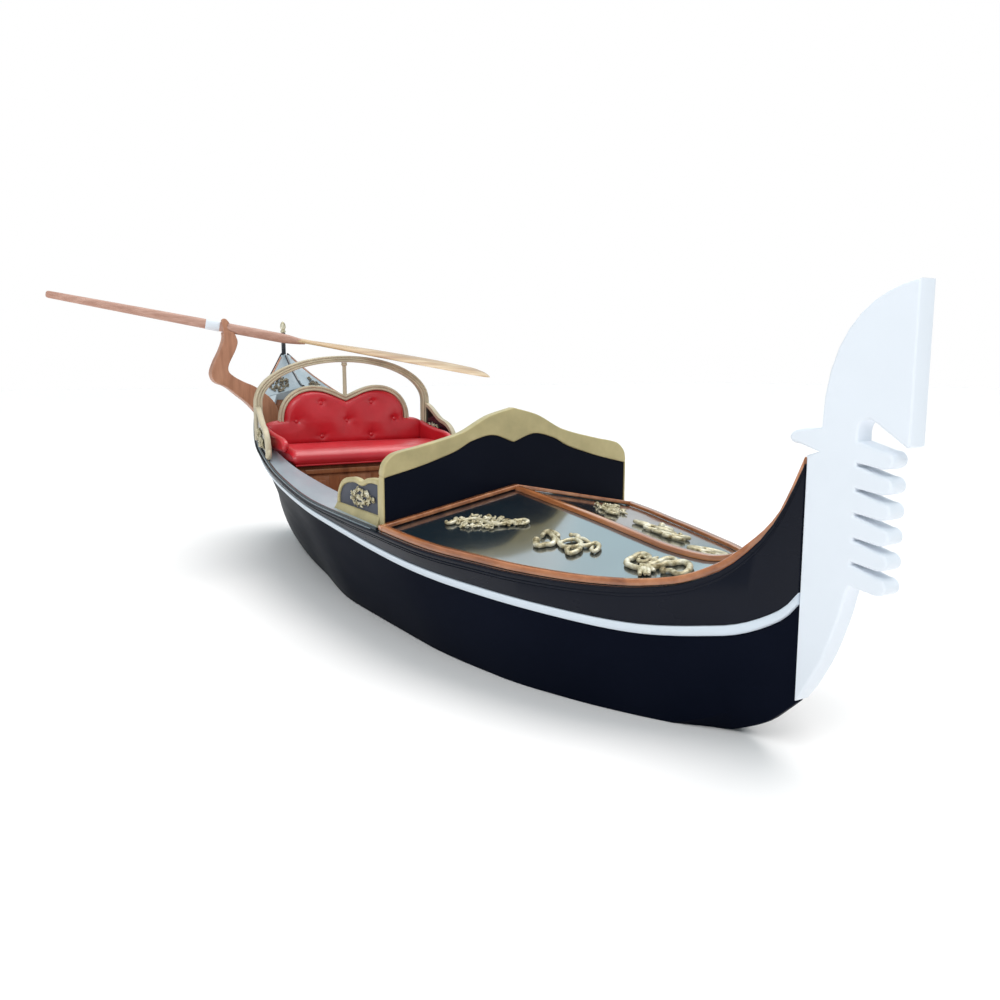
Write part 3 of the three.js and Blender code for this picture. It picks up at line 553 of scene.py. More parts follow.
def make_hull():
    def ring(x):
        low = keel_z(x)
        top = (min(sheer_z(x), deck_middle(x)) if x > 500 else sheer_z(x)) - DECK - GAP
        sharp = min(1, max(0, (x - 555) / 50))
        rows = [low + (top - low) * t for t in (0, 0.006 + 0.14 * sharp, 0.3, 0.6, 1)]
        side = [(outer_half(x, z), z) for z in rows]
        side[0] = ((side[0][0] - 1.2) * (1 - 0.7 * sharp), low)
        floor = low + WALL + 2
        inside = [(max(0.5, outer_half(x, z) - WALL), z) for z in [floor, floor + 0.5] + rows[2:]]
        if not STERN_X + 90 < x < BOW_X - 60:
            inside = [(max(0.5, side[-1][0] - WALL - 1 - 0.1 * k), top - 0.2) for k in range(5)][::-1]
        return [(-y, z) for y, z in side[::-1]] + side + inside[::-1] + [(-y, z) for y, z in inside]
    loft("hull_planking", spread(STERN_X, BOW_X, 9), ring, "hull_lacquer", replaces=("hull_shell",), angle=25)


# The upper plank's moulding, from its low edge (1) to the plank's top edge (0), with its depth there.
PLANK_MOULDING = [(1, 2.9), (0.93, 2), (0.86, 3), (0.75, 3.5), (0.64, 3), (0.58, 2.2), (0.5, 3.3), (0.3, 3.9),
                  (0.1, 3.3), (0, 2.4)]


def make_side_strips():
    xs = spread(STERN_X, BOW_X, 9)

    def stripe(x):
        a, b, r = stripe_z(x) - STRIPE_HALF, stripe_z(x) + STRIPE_HALF, 2
        return [(outer_half(x, z) + GAP + out, z) for z, out in (
            (a, 0), (a, STRAKE - r), (a + 0.3 * r, STRAKE - 0.3 * r), (a + r, STRAKE),
            (b - r, STRAKE), (b - 0.3 * r, STRAKE - 0.3 * r), (b, STRAKE - r), (b, 0))]

    def strake(x):
        low = stripe_z(x) + STRIPE_HALF + GAP
        tall = sheer_z(x) - GAP - low
        relief = 1 - 0.55 * min(1, max(0, (x - 300) / 250))
        groove = min(0.5, 9 / tall)

        def at(t, out):
            z = low + tall * t
            return (outer_half(x, z) + GAP + (2.9 + (out - 2.9) * relief if out else 0), z)
        return ([at(0, 0), at(0, 2.0), at(0.04, 2.6)] + [at(1 - groove * k, out) for k, out in PLANK_MOULDING]
                + [at(1, 0)])
    for side, sign in SIDES:
        loft(f"rubbing_stripe_{side}", xs, stripe, "shaded_stripe_paint", sign, replaces=(f"white_stripe_{side}",))
        loft(f"upper_plank_{side}", xs, strake, "strake_lacquer", sign, replaces=(f"upper_strake_{side}",),
             angle=50)


def make_foredeck():
    for side, sign in SIDES:
        def panel(x):
            edge, mid = deck_edge(x), deck_middle(x)
            return [(0.15, mid - DECK), (edge - 2.2, sheer_z(x) - DECK), (edge, sheer_z(x)), (0.15, mid)]
        loft(f"foredeck_panel_{side}", spread(SCREEN_X - 14, BOW_X - 1, 7), panel, "deck_lacquer", sign,
             replaces=(f"foredeck_{side}",), angle=25)

        def rail(x):
            outer = max(deck_edge(x) - 3, min(9, sheer_half(x) - 2))
            inner = max(outer - TRIM_WIDE, 4.8)
            slope = (sheer_z(x + 2) - sheer_z(x - 2)) / 4
            top = max(sheer_z(x), fore_deck_z(x, inner)) + TRIM_TALL * min(2, hypot(1, slope))
            a, b = fore_deck_z(x, inner) + 0.6, fore_deck_z(x, outer) + 0.6
            return [(inner, a), (outer, b), (outer, top - 2.2), (outer - 0.6, top - 0.8),
                    (outer - 2.0, top), (inner + 2.0, top), (inner + 0.6, top - 0.8), (inner, top - 2.2)]
        loft(f"edge_rail_{side}", spread(SCREEN_X + 4, BOW_X - 2, 6), rail, "mahogany", sign,
             replaces=(f"foredeck_edge_{side}",), angle=30)

    def ridge(x):
        half = TRIM_WIDE / 2
        foot = fore_deck_z(x, half) + 0.4
        top = deck_middle(x) + TRIM_TALL
        return [(-half, foot), (0, deck_middle(x) + 0.3), (half, foot), (half, top - 2),
                (half - 0.7, top - 0.7), (half - 2.2, top), (2.2 - half, top), (0.7 - half, top - 0.7),
                (-half, top - 2)]
    loft("ridge_rail", spread(SCREEN_X + 11, BOW_X - 3, 7), ridge, "mahogany", replaces=("foredeck_ridge",),
         angle=30)
    half = deck_edge(SCREEN_X) - 3
    ys = [-half, 0, half]
    foot = [(y, fore_deck_z(SCREEN_X + 5, y) + 1.2) for y in ys]
    outline = foot + [(y, z + TRIM_TALL) for y, z in foot[::-1]]
    board("screen_foot_rail", outline, SCREEN_X + 1, SCREEN_X + 11, across, "mahogany", 1.5,
          replaces=("screen_rail",))


def make_side_decks():
    for side, sign in SIDES:
        def inner(x):
            return min(150, deck_edge(x) - (8 if x > -430 else 34))

        def deck(x):
            edge = deck_edge(x)
            lift = 8 * max(0, edge - inner(x)) / 45
            z = sheer_z(x)
            return [(inner(x), z - DECK), (edge - 2.2, z - DECK), (edge, z - 0.6), (edge - 0.8, z),
                    (edge - 9, z + lift * 0.12), (inner(x) + 2, z + lift), (inner(x) + 0.6, z + lift - 0.5),
                    (inner(x), z + lift - 1.8)]
        # The side decks' pale colour is a painted sky reflection.
        loft(f"side_deck_skin_{side}", spread(AFT_DECK_X + GAP, SCREEN_X - 14.3, 8), deck, "deck_painted_reflection",
             sign, replaces=(f"side_deck_{side}",), angle=35)

        def bead(x):
            outer = deck_edge(x) - 1
            z = sheer_z(x) + GAP
            return [(outer - 5, z), (outer, z), (outer, z + 1.5), (outer - 0.7, z + 2.5), (outer - 2, z + 3),
                    (outer - 3.4, z + 2.6), (outer - 4.6, z + 1.4)]
        loft(f"edge_bead_{side}", spread(AFT_DECK_X + 4, SCREEN_X - 1, 8), bead, "black_lacquer", sign,
             replaces=(f"side_edge_{side}",), angle=50)


# ---- Gilded ornaments ----
def add_curl(shape, line, radius, tip, frame_at, count=8):
    """A tapered round leaf or scroll: line holds (u, v, lift), frame_at(u, v, lift) gives the point."""
    points = smooth_line([frame_at(*p) for p in line], 4)
    up = Vector(frame_at(line[0][0], line[0][1], line[0][2] + 1)) - Vector(frame_at(*line[0]))
    add_sweep(shape, points, circle(1, count, 0.85), up=up,
              scale=lambda t: tip + (radius - tip) * sin(pi * (0.25 + 0.75 * t)))


def add_knob(shape, at, radius, frame_at):
    rings = [(max(0.05, radius * sin(a)), radius * cos(a)) for a in (pi * i / 6 for i in range(7))]
    add_turned(shape, rings, frame_at(*at), count=10)


def spiral(cx, cy, radius, start, turn, lift):
    """Points of a scroll that winds inwards, as (u, v, lift)."""
    count, shrink = 7, 0.35
    out = []
    for i in range(count):
        t = i / (count - 1)
        a = radians(start + turn * t)
        r = radius * (1 - (1 - shrink) * t)
        out.append((cx + r * cos(a), cy + r * sin(a), lift + 0.8 * t))
    return out


def add_lace(shape, long, wide, frame_at, seed=0.0, size=1.0):
    """A pierced cluster of small leaves and scrolls, long by wide."""
    rows = max(2, round(wide / (8.0 * size)))
    cols = max(3, round(long / (7.0 * size)))
    for i in range(cols):
        for j in range(rows):
            k = seed + i * 3.7 + j * 8.3
            u = (i + 0.5) / cols - 0.5
            v = (j + 0.5) / rows - 0.5
            swell = 0.62 + 0.38 * cos(4.2 * u + 0.7 * sin(seed))
            if abs(v) > swell / 2 + 0.02:
                continue
            cu = u * long + 1.6 * sin(2.3 * k)
            cv = v * wide * swell + 1.4 * cos(1.9 * k)
            radius = size * (4.0 + 1.3 * sin(1.3 * k))
            start = (k * 137.5) % 360
            turn = (250 + 60 * sin(k)) * (1 if (i + j) % 2 else -1)
            add_curl(shape, spiral(cu, cv, radius, start, turn, 1.4 + 0.5 * sin(k * 0.9)),
                     size * 1.45, size * 0.7, frame_at, 7)
            add_knob(shape, (cu + 0.3 * radius, cv, 2.4), size * 1.5, frame_at)
            if (i + 2 * j) % 3 == 0:
                a = radians(start + 90)
                b = a + 0.5
                leaf = [(cu, cv, 2.2), (cu + 4 * size * cos(a), cv + 3 * size * sin(a), 3.6),
                        (cu + 7.5 * size * cos(b), cv + 5.5 * size * sin(b), 1.4)]
                add_curl(shape, leaf, size * 1.7, size * 0.4, frame_at, 7)


def on_foredeck(cx, cy, sign, turn=0.0):
    """Places an ornament's (u, v, lift) on the fore deck, with u turned from the hull's length."""
    c, w = cos(radians(turn)), sin(radians(turn))

    def at(u, v, lift):
        x, y = cx + u * c - v * w, cy + u * w + v * c
        slope = (fore_deck_z(x, y + 1) - fore_deck_z(x, y - 1)) / 2
        k = 1 / hypot(1, slope)
        return (x, sign * (y - lift * slope * k), fore_deck_z(x, y) + lift * k)
    return at


def add_scrollwork(shape, lines, at):
    for radius, tip, points in lines:
        add_curl(shape, [(p[0], p[1], 2.8) for p in points], radius, tip, at, 10)


# The scrolls of the two forward ornaments, each a thickness, a tip's thickness and (x, y) on the deck.
SCROLLWORK_MIDDLE = [
    (3.3, 2.4, [(382, 87), (387, 92), (394, 91), (396, 84), (400, 79), (393, 71), (382, 66), (370, 63),
                (367, 67), (373, 74)]),
    (2.8, 2.0, [(366, 67), (366, 60), (374, 59), (383, 60), (390, 64)]),
    (3.0, 2.0, [(382, 66), (395, 69), (409, 74), (418, 74), (424, 69), (425, 62), (420, 56), (409, 55),
                (404, 60), (403, 66), (404, 72)]),
    (2.8, 1.4, [(411, 56), (404, 48), (398, 48), (395, 51)]),
    (3.2, 2.0, [(424, 60), (433, 67), (436, 74), (436, 80), (431, 81), (425, 77)]),
    (2.8, 2.0, [(423, 59), (430, 58), (432, 51), (433, 46), (441, 48), (448, 55), (450, 60), (444, 60),
                (439, 54)]),
    (2.5, 1.4, [(409, 50), (414, 48), (422, 49), (429, 50)])]
SCROLLWORK_FORE = [
    (3.4, 2.4, [(520, 57), (511, 59), (500, 58), (493, 51), (492, 44), (489, 36), (492, 30), (502, 32),
                (509, 38), (509, 44), (502, 46)]),
    (2.0, 1.4, [(496, 41), (496, 35), (503, 36)]),
    (3.4, 1.8, [(514, 53), (521, 47), (521, 39), (520, 31), (519, 24), (524, 20), (532, 22)]),
    (3.6, 2.6, [(520, 52), (527, 47), (530, 40), (529, 33), (534, 30), (537, 25), (543, 22), (554, 26),
                (563, 35), (566, 44), (560, 47), (549, 44), (542, 48)]),
    (2.8, 1.6, [(520, 55), (525, 62), (532, 68)]), (2.8, 1.6, [(522, 54), (528, 59), (535, 64)]),
    (2.8, 1.6, [(525, 52), (531, 57), (538, 62)]), (2.6, 1.4, [(526, 50), (531, 52), (535, 52)]),
    (2.4, 1.2, [(513, 40), (510, 33), (510, 27)]), (2.2, 1.2, [(516, 46), (515, 38), (513, 31)])]


def make_deck_ornaments():
    for side, sign in SIDES:
        shape = bmesh.new()
        at = on_foredeck(281, 91, sign, -35)
        add_lace(shape, 96, 40, at, 0.4, 0.86)
        add_scrollwork(shape, [
            (2.4, 1.2, [(-50, 6), (-46, 11), (-40, 9), (-38, 2), (-30, -2)]),
            (2.6, 1.4, [(-34, 4), (-18, -6), (0, 2), (16, 9), (32, 2), (48, 6)]),
            (2.4, 1.2, [(36, -4), (44, -8), (51, -3), (50, 4), (44, 6)])], at)
        finish(f"deck_ornament_1_{side}", shape, "gilt", replaces=(f"scroll_1_{side}",), angle=60)
        for i, lines, knobs in (
                (2, SCROLLWORK_MIDDLE, [(382, 87, 4, 4.4), (395, 51, 3, 2.6), (425, 77, 3, 3.2)]),
                (3, SCROLLWORK_FORE, [(502, 45, 3, 2.6), (542, 48, 3, 3.6)])):
            shape = bmesh.new()
            at = on_foredeck(0, 0, sign)
            add_scrollwork(shape, lines, at)
            for u, v, lift, radius in knobs:
                add_knob(shape, (u, v, lift), radius, at)
            finish(f"deck_ornament_{i}_{side}", shape, "gilt", replaces=(f"scroll_{i}_{side}",), angle=60)


# ---- Bow iron ----
def make_bow_iron():
    front, tip, nose, half, root, droop = 719, 752, 765, 7.2, 8.7, 4.5
    teeth = [170 + 19.8 * i for i in range(6)]
    moves = [[(681, 69)], [(697, 99), (709.5, 133), (716, 158), (719, teeth[0] + droop - root)]]
    for i, z in enumerate(teeth):
        moves += [[(tip - half - 3, z - half)], [(tip, z - half + 0.5), (tip, z)],
                  [(tip - 0.5, z + half), (tip - half - 2, z + half)], [(front, z + droop + root)]]
        if i < len(teeth) - 1:
            moves.append([(front, teeth[i + 1] + droop - root)])
    moves += [[(front, 288)], [(719, 299), (730, 299)], [(736, 296)], [(nose - 3, 279.5)], [(nose, 281)],
              [(nose, 403)], [(727, 398), (684, 372), (684, 291)], [(665, 289)], [(652, 287), (652, 281)],
              [(653, 276), (663, 276)], [(682, 271)], [(BOW_X + GAP, 267)]]
    outline = trace((BOW_X + GAP, 54), *moves)
    board("bow_blade", outline, -9.5, 9.5, along, "white_paint", 2.3, 4, replaces=("bow_iron",), angle=50)


# ---- Screen ----
cap_inner = through([(0, 244), (33, 254), (60, 248), (84, 236), (107, 228), (133, 220), (182, 208)])
cap_outer = through([(0, 288), (34, 279), (77, 258), (133, 244), (166, 237), (177, 229), (183, 217),
                     (183.4, 208)])


def make_screen():
    leaf, inner, outer = 181.2, 182, 183.2

    def foot(y):
        return fore_deck_z(SCREEN_X - 7, y) + 1
    top = [(y, cap_inner(abs(y)) + 2) for y in spread(leaf, -leaf, 4)]
    board("screen_leaf", [(-leaf, foot(leaf)), (0, foot(0)), (leaf, foot(leaf))] + top, SCREEN_X - 12,
          SCREEN_X - 2, across, "screen_lacquer", 0.4, 2, replaces=("screen_panel",))
    lower = [(y, cap_inner(abs(y))) for y in spread(-inner, inner, 3)]
    upper = [(y, cap_outer(abs(y))) for y in spread(outer, -outer, 2)]
    board("screen_top", lower + upper, SCREEN_X - 14, SCREEN_X, across, "gold_paint", 1.4, 4,
          replaces=("screen_cap",), angle=50)
    for side, sign in SIDES:
        strip = corners((leaf + 0.1) * sign, foot(inner), (outer - 0.2) * sign, 209)
        board(f"screen_edging_{side}", strip, SCREEN_X - 14, SCREEN_X - 0.6, across, "gold_paint", 0.5, 2)


# ---- Cheeks ----
CHEEK_LONG, CHEEK_Y = 146, 177


def cheek_outline(inner, foot):
    long, k = CHEEK_LONG, inner
    if not inner:
        return trace((0, foot), [(long, foot)], [(long, 53)], [(112, 56), (94, 48)], [(85, 43), (76, 47)],
                     [(60, 50), (42, 46.5)], [(4, 42.5), (0, 11)], [(0, 6), (0, foot)])
    return trace((k, foot), [(long - k, foot)], [(long - k, 53 - k)], [(112, 55 - k), (96, 48 - k)],
                 [(87, 45 - k), (77, 47 - k)], [(62, 49.5 - k), (46, 46.5 - k)], [(6 + k, 43 - k), (k, 17)],
                 [(k, 15), (k, foot)])


def make_cheeks():
    x0 = SCREEN_X - 16 - CHEEK_LONG
    base = max(sheer_z(x0), sheer_z(x0 + CHEEK_LONG)) + GAP + 0.4
    for side, sign in SIDES:
        def place(a, b, t):
            return (x0 + a, sign * CHEEK_Y + t, base + b)
        shape = bmesh.new()
        add_frame(shape, cheek_outline(0, 0), cheek_outline(6.5, 9), -4.5, 4.5, place, 1.6)
        foot = []
        for x in spread(x0 + 0.5, x0 + CHEEK_LONG - 0.5, 12):
            z = sheer_z(x) + 0.4
            foot.append([(x, sign * y, h) for y, h in (
                (172.2, z), (185.5, z), (185.5, z + 2), (184.6, z + 3.2), (181.8, base + 8.2),
                (172.2, base + 8.2))])
        add_loft(shape, foot)
        finish(f"cheek_border_{side}", shape, "gold_paint", replaces=(f"cheek_frame_{side}",), angle=45)
        board(f"cheek_field_{side}", cheek_outline(6, 8.5), -2, 2, place, "slate_panel", 0.5, 2,
              replaces=(f"cheek_panel_{side}",))
        shape = bmesh.new()
        for face in (-1, 1):
            def at(u, v, lift):
                return (x0 + 88 + u, sign * CHEEK_Y + face * (1.6 + lift), base + 25 + 0.04 * u + v)
            add_lace(shape, 80, 23, at, 1.1 + face, 0.8)
        finish(f"cheek_ornament_{side}", shape, "gilt", angle=60)


# ---- Seat ----
SEAT_FRONT_X, SEAT_BACK_X, SEAT_HALF, FLOOR_Z = -263, -391, 148, 66
BUTTONS = [(-49, 275), (49, 275), (-95, 243), (0, 242), (95, 243), (-48, 215), (48, 215)]


def humps(grow, foot):
    """The way over the back's two humps, from (117 + grow, foot) to the same place on the other side."""
    top = 297 + grow
    return [[(118 + grow, 280), (92 + grow / 2, top), (62, top)], [(38, top), (22, top - 10), (0, top - 19)],
            [(-22, top - 10), (-38, top), (-62, top)],
            [(-92 - grow / 2, top), (-118 - grow, 280), (-117 - grow, foot)]]


def pad_outline(steps):
    side = SEAT_HALF + 5
    return trace((-side, 199), [(side, 199)], [(side, 238)], [(138, 247), (117, 245)], *humps(0, 245),
                 [(-138, 247), (-side, 238)], steps=steps)


def rim_outline(grow):
    return trace((117 + grow, 243), *humps(grow, 243), steps=18)


def even(outline, step):
    """The outline's points spaced evenly."""
    out = []
    n = len(outline)
    for i in range(n):
        a, b = Vector(outline[i]), Vector(outline[(i + 1) % n])
        count = max(1, round((b - a).length / step))
        out += [tuple(a.lerp(b, k / count)) for k in range(count)]
    return out


def edge_distance(p, outline):
    best = 1e9
    n = len(outline)
    for i in range(n):
        ax, ay = outline[i]
        bx, by = outline[(i + 1) % n]
        dx, dy = bx - ax, by - ay
        t = max(0, min(1, ((p[0] - ax) * dx + (p[1] - ay) * dy) / (dx * dx + dy * dy + 1e-9)))
        best = min(best, (p[0] - ax - t * dx) ** 2 + (p[1] - ay - t * dy) ** 2)
    return sqrt(best)


def pad_depth(y, z, distance):
    """How far the buttoned back stands out at (y, z)."""
    rim = min(1, distance / 13)
    depth = 12.3 * sqrt(1 - (1 - rim) ** 2) + 2.2 * min(1, distance / 40)
    for by, bz in BUTTONS:
        r = hypot(y - by, z - bz)
        a = atan2(z - bz, y - by)
        depth -= 3.4 * exp(-(r / 19) ** 2) + 3.4 * exp(-(r / 6) ** 2)
        depth += 0.22 * exp(-((r - 10) / 7) ** 2) * cos(5 * a + 0.8)
    return max(0.5, depth)


def make_seat_back():
    outline, coarse = even(pad_outline(14), 3.2), pad_outline(8)
    middle = Vector((0, 232))
    base_x = SEAT_BACK_X - 12.7
    rows = [[(base_x, y, z) for y, z in outline]]
    ring_count = 34
    for k in range(ring_count):
        s = 1 - (k / ring_count) ** 1.25
        ring = []
        for y, z in outline:
            p = middle.lerp(Vector((y, z)), s)
            d = edge_distance((p.x, p.y), coarse) if k else 0.0
            ring.append((base_x + pad_depth(p.x, p.y, d), p.x, p.y))
        rows.append(ring)
    pad = build("buttoned_back", "red_leather", add_loft, rows, replaces=("seat_back_pad",), angle=75)
    button = [(0.1, 3.2), (2.2, 2.9), (3.8, 1.9), (4.4, 0.6), (4.2, -0.6), (2.0, -1.4)]
    for i, (y, z) in enumerate(BUTTONS):
        build(f"leather_button_{i + 1}", "red_leather", add_turned, button,
              (base_x + pad_depth(y, z, 20) - 0.6, y, z), (1, 0, 0), 20, replaces=(f"back_button_{i + 1}",),
              angle=60)
    board("seat_back_frame", rim_outline(8) + [(-125, 200), (125, 200)], SEAT_BACK_X - 21, SEAT_BACK_X - 13,
          across, "gold_painted_light", 1.5, replaces=("seat_back_board",))
    rim = [(SEAT_BACK_X - 11, y, z) for y, z in rim_outline(5)]
    build("seat_back_moulding", "gold_painted_light", add_sweep, rim, beads(9.6, 9, 2), (1, 0, 0), angle=50)


def beads(wide, deep, count):
    """A section with rounded reeds on its front and back faces: across is wide, along up is deep."""
    out = []
    step = wide / count
    for face in (1, -1):
        for i in range(count):
            k = i if face > 0 else count - 1 - i
            center = -wide / 2 + step * (k + 0.5)
            for j in range(7):
                a = pi * j / 6
                out.append((center - face * cos(a) * step / 2,
                            face * (deep / 2 - step * 0.42 + step * 0.42 * sin(a))))
    return out


def make_cushion():
    front, back = SEAT_FRONT_X, SEAT_BACK_X
    section = trace((back - 3, 177), [(front - 6, 176.5)], [(front + 1.5, 178), (front + 1.5, 186)],
                    [(front + 1, 199), (front - 20, 203.5)], [(front - 48, 208), (front - 84, 207)],
                    [(back + 12, 206), (back - 3, 204)], steps=12)
    center = (front - 64, 191)
    rings = []
    half = SEAT_HALF - 2
    for y in spread(-half, half, 4):
        out = max(0, (abs(y) - (half - 11)) / 11)
        k = sqrt(max(0.0, 1 - out * out))
        ring = []
        for x, z in section:
            fullness = 1 + 0.018 * cos(y / 31) + 0.008 * sin(y / 9 + x / 14)
            dz = (z - center[1]) * (0.4 + 0.6 * k)
            dx = (x - center[0]) * (0.95 + 0.05 * k)
            ring.append((center[0] + dx, y, center[1] + dz * (fullness if dz > 0 else 1)))
        rings.append(ring)
    cushion = build("leather_cushion", "red_leather", add_loft, rings, replaces=("seat_cushion",), angle=75)
    edge = [(front - 0.5, y, 177.8) for y in spread(-half + 4, half - 4, 8)]
    build("cushion_piping", "red_leather", add_sweep, edge, circle(1.5, 10), angle=60)
    for side, sign in SIDES:
        arm = trace((back - 6, 200), [(front - 21, 200)], [(front - 10, 204), (front - 14, 214)],
                    [(front - 20, 222), (front - 45, 224)], [(back + 32, 228), (back - 6, 238)])
        middle = sign * (SEAT_HALF + 4.8)
        roll = board(f"leather_arm_{side}", arm, middle - 5.7, middle + 5.7, along, "red_leather", 5.4, 7,
                     replaces=(f"seat_arm_{side}",), angle=60)


def inside_half(x, z):
    return outer_half(x, z) - 8


def make_seat_base():
    x = SEAT_FRONT_X - 14
    def half(z):
        return min(inside_half(x, z), inside_half(x + 8, z))
    low, high = FLOOR_Z + 1, 170
    shape = bmesh.new()
    add_board(shape, [(-half(low), low), (half(low), low), (half(high), high), (-half(high), high)],
              x, x + 8, across, 0.8, 2)
    for y0, y1 in ((-120, -84), (-66, -8), (8, 66), (84, 120)):
        add_board(shape, corners(y0, 80, y1, 158), x + 7, x + 10.5, across, 1.6, 2)
        add_board(shape, corners(y0 + 7, 87, y1 - 7, 151), x + 9, x + 12.6, across, 1.6, 2)
    add_board(shape, corners(-125, 162, 125, 170), x + 7, x + 12, across, 1.5, 3)
    finish("seat_base_front", shape, "seat_wood_painted_light", replaces=("seat_front",), angle=45)


# ---- Arch, its post and its wings ----
def make_arch():
    half, foot, spring, crown = 162, 212, 276, 354.4
    line = [(ARCH_X, y, z) for y, z in trace(
        (-half, foot), [(-half, 244)], [(-half, spring)], [(-half, 321), (-90, crown), (0, crown)],
        [(90, crown), (half, 321), (half, spring)], [(half, 244)], [(half, foot)], steps=26)]
    build("arch_moulding", "gold_painted_light", add_sweep, line, beads(13.6, 14, 3), (1, 0, 0),
          lambda t: 1 - 0.16 * sin(pi * min(1, max(0, (t - 0.1) / 0.8))), replaces=("arch",), angle=50)
    profile = [(4.6, 0), (4.6, 1.4), (4.0, 2.4), (3.7, 5), (3.5, 40), (3.5, 56), (4.2, 57.4), (5.4, 58.4),
               (5.4, 60.2), (4.4, 61.4), (5.8, 63.2)]
    build("arch_prop", "gold_painted_light", add_turned, profile, (ARCH_X - 1, 0, 285), replaces=("arch_post",),
          angle=50)
    for side, sign in SIDES:
        x0 = ARCH_X + 7.5
        z1 = sheer_z(x0 + 92) + 6
        edge = trace((x0 + 92, z1), [(x0 + 98, 206), (x0 + 84, 232), (x0 + 56, 238)],
                     [(x0 + 34, 244), (x0 + 22, 262), (x0, 268)], steps=16)
        outline = [(x0, sheer_z(x0) + 4)] + edge
        def out(x):
            return sign * (164 + 0.12 * (x - x0))
        board(f"wing_board_{side}", outline, -2.6, 2.6, lambda a, b, t: (a, out(a) + t, b), "black_lacquer",
              0.8, 2, replaces=(f"wing_panel_{side}",))
        shape = bmesh.new()
        rail = [(x, out(x), z) for x, z in edge[::-1]]
        add_sweep(shape, rail, [(-3, -5), (3, -5), (3.6, -3.6), (3.6, 2.4), (2.4, 4.2), (0, 5), (-2.4, 4.2),
                                (-3.6, 2.4), (-3.6, -3.6)], up=(0, 1, 0))
        curl = [(x0 + 92, 0), (x0 + 96, 5), (x0 + 94, 11), (x0 + 88, 12), (x0 + 86, 7)]
        add_sweep(shape, smooth_line([(x, out(x), z1 + h) for x, h in curl], 4), circle(4.6, 12),
                  up=(0, 1, 0), scale=lambda t: 1 - 0.4 * t)
        finish(f"wing_rim_{side}", shape, "gold_painted_light", angle=50)
        shape = bmesh.new()
        for face in (-1, 1):
            def at(u, v, lift):
                return (x0 + 38 + u, out(x0 + 38 + u) + face * (2.2 + lift), 216 + v - 0.3 * u)
            add_lace(shape, 62, 30, at, 2.1 + face, 0.8)
        finish(f"wing_ornament_{side}", shape, "gilt", angle=60)


# ---- Stern ----
def strips(count):
    """The edges of count equal strips across the boat, from -1 to 1."""
    return [(-1 + 2 * i / count, -1 + 2 * (i + 1) / count) for i in range(count)]


def aft_deck_z(x, y):
    ridge, edge = aft_ridge_z(x), sheer_z(x)
    t = min(1, abs(y) / deck_edge(x))
    return ridge + (edge - ridge) * t - 1.5 * sin(pi * t)


def make_stern():
    def ring(x):
        edge = deck_edge(x)
        over = [(t * edge, aft_deck_z(x, t * edge)) for t in
                (-1, -0.8, -0.6, -0.4, -0.2, -0.04, 0.04, 0.2, 0.4, 0.6, 0.8, 1)]
        return [(-edge + 2.2, sheer_z(x) - DECK), (edge - 2.2, sheer_z(x) - DECK)] + over[::-1]
    # The after deck's pale colour is a painted sky reflection.
    loft("after_deck_skin", spread(STERN_X + 4, AFT_DECK_X, 5), ring, "deck_painted_reflection", replaces=("after_deck",),
         angle=30)
    xs = spread(STERN_X + 10, AFT_DECK_X, 5)
    ornament_x = -666

    def ridge(x):
        z = aft_ridge_z(x)
        return [(-2.6, z - 1.5), (2.6, z - 1.5), (2.6, z + 0.6), (1.2, z + 2), (-1.2, z + 2), (-2.6, z + 0.6)]
    loft("after_deck_ridge", xs, ridge, "black_lacquer", angle=40)
    for side, sign in SIDES:
        def edge(x):
            y, z = deck_edge(x), sheer_z(x)
            w = min(3.4, y * 0.45)
            return [(y - w, z - 0.6), (y, z - 0.6), (y, z + 1.3), (y - w * 0.3, z + 2), (y - w * 0.7, z + 2),
                    (y - w, z + 1.3)]
        loft(f"after_deck_edge_{side}", xs, edge, "beech", sign, angle=45)

        def at(u, v, lift):
            x = ornament_x + u
            y = (40 + v) * (deck_edge(x) / deck_edge(ornament_x))
            return (x, sign * y, aft_deck_z(x, y) + lift)
        # These ornaments take the darker gilding, which is painted shade.
        build(f"after_deck_ornament_{side}", "gilt_painted_shade", add_lace, 52, 44, at, 3.3 + sign, 0.8, angle=60)
    x = AFT_DECK_X - 8
    def half(z):
        return min(inside_half(x, z), inside_half(x + 6, z)) + 1
    low = max(keel_z(x), keel_z(x + 9)) + 9
    top_half = half(270)

    def top(t):
        return aft_deck_z(AFT_DECK_X, t * top_half) - DECK - 1
    shape = bmesh.new()
    for a, b in strips(9):
        add_board(shape, [(a * half(low) + 0.2, low), (b * half(low) - 0.2, low),
                          (b * top_half - 0.2, top(b)), (a * top_half + 0.2, top(a))],
                  x, x + 6, across, 0.9, 2)
    finish("after_bulkhead_boards", shape, "mahogany", replaces=("after_bulkhead",), angle=45)
    post_x = STERN_X - 5 - GAP
    build("stern_pole", "black_lacquer", add_turned,
          [(4.6, 0), (5, 0.6), (5, 3), (4.7, 4), (4.4, 68), (4.8, 69), (4.8, 70.6), (4.2, 71)],
          (post_x, 0, 342), replaces=("stern_post",))
    knob = [(4.4, 0), (5.6, 1), (5.9, 2.6), (5.2, 4), (4.0, 5.4), (4.2, 7), (5.6, 9.4), (6.1, 12), (5.8, 15),
            (5.0, 18), (3.6, 20.6), (2.6, 22.2), (0.3, 24)]
    build("stern_knob", "gilt", add_turned, knob, (post_x, 0, 413.3), replaces=("stern_finial",), angle=60)


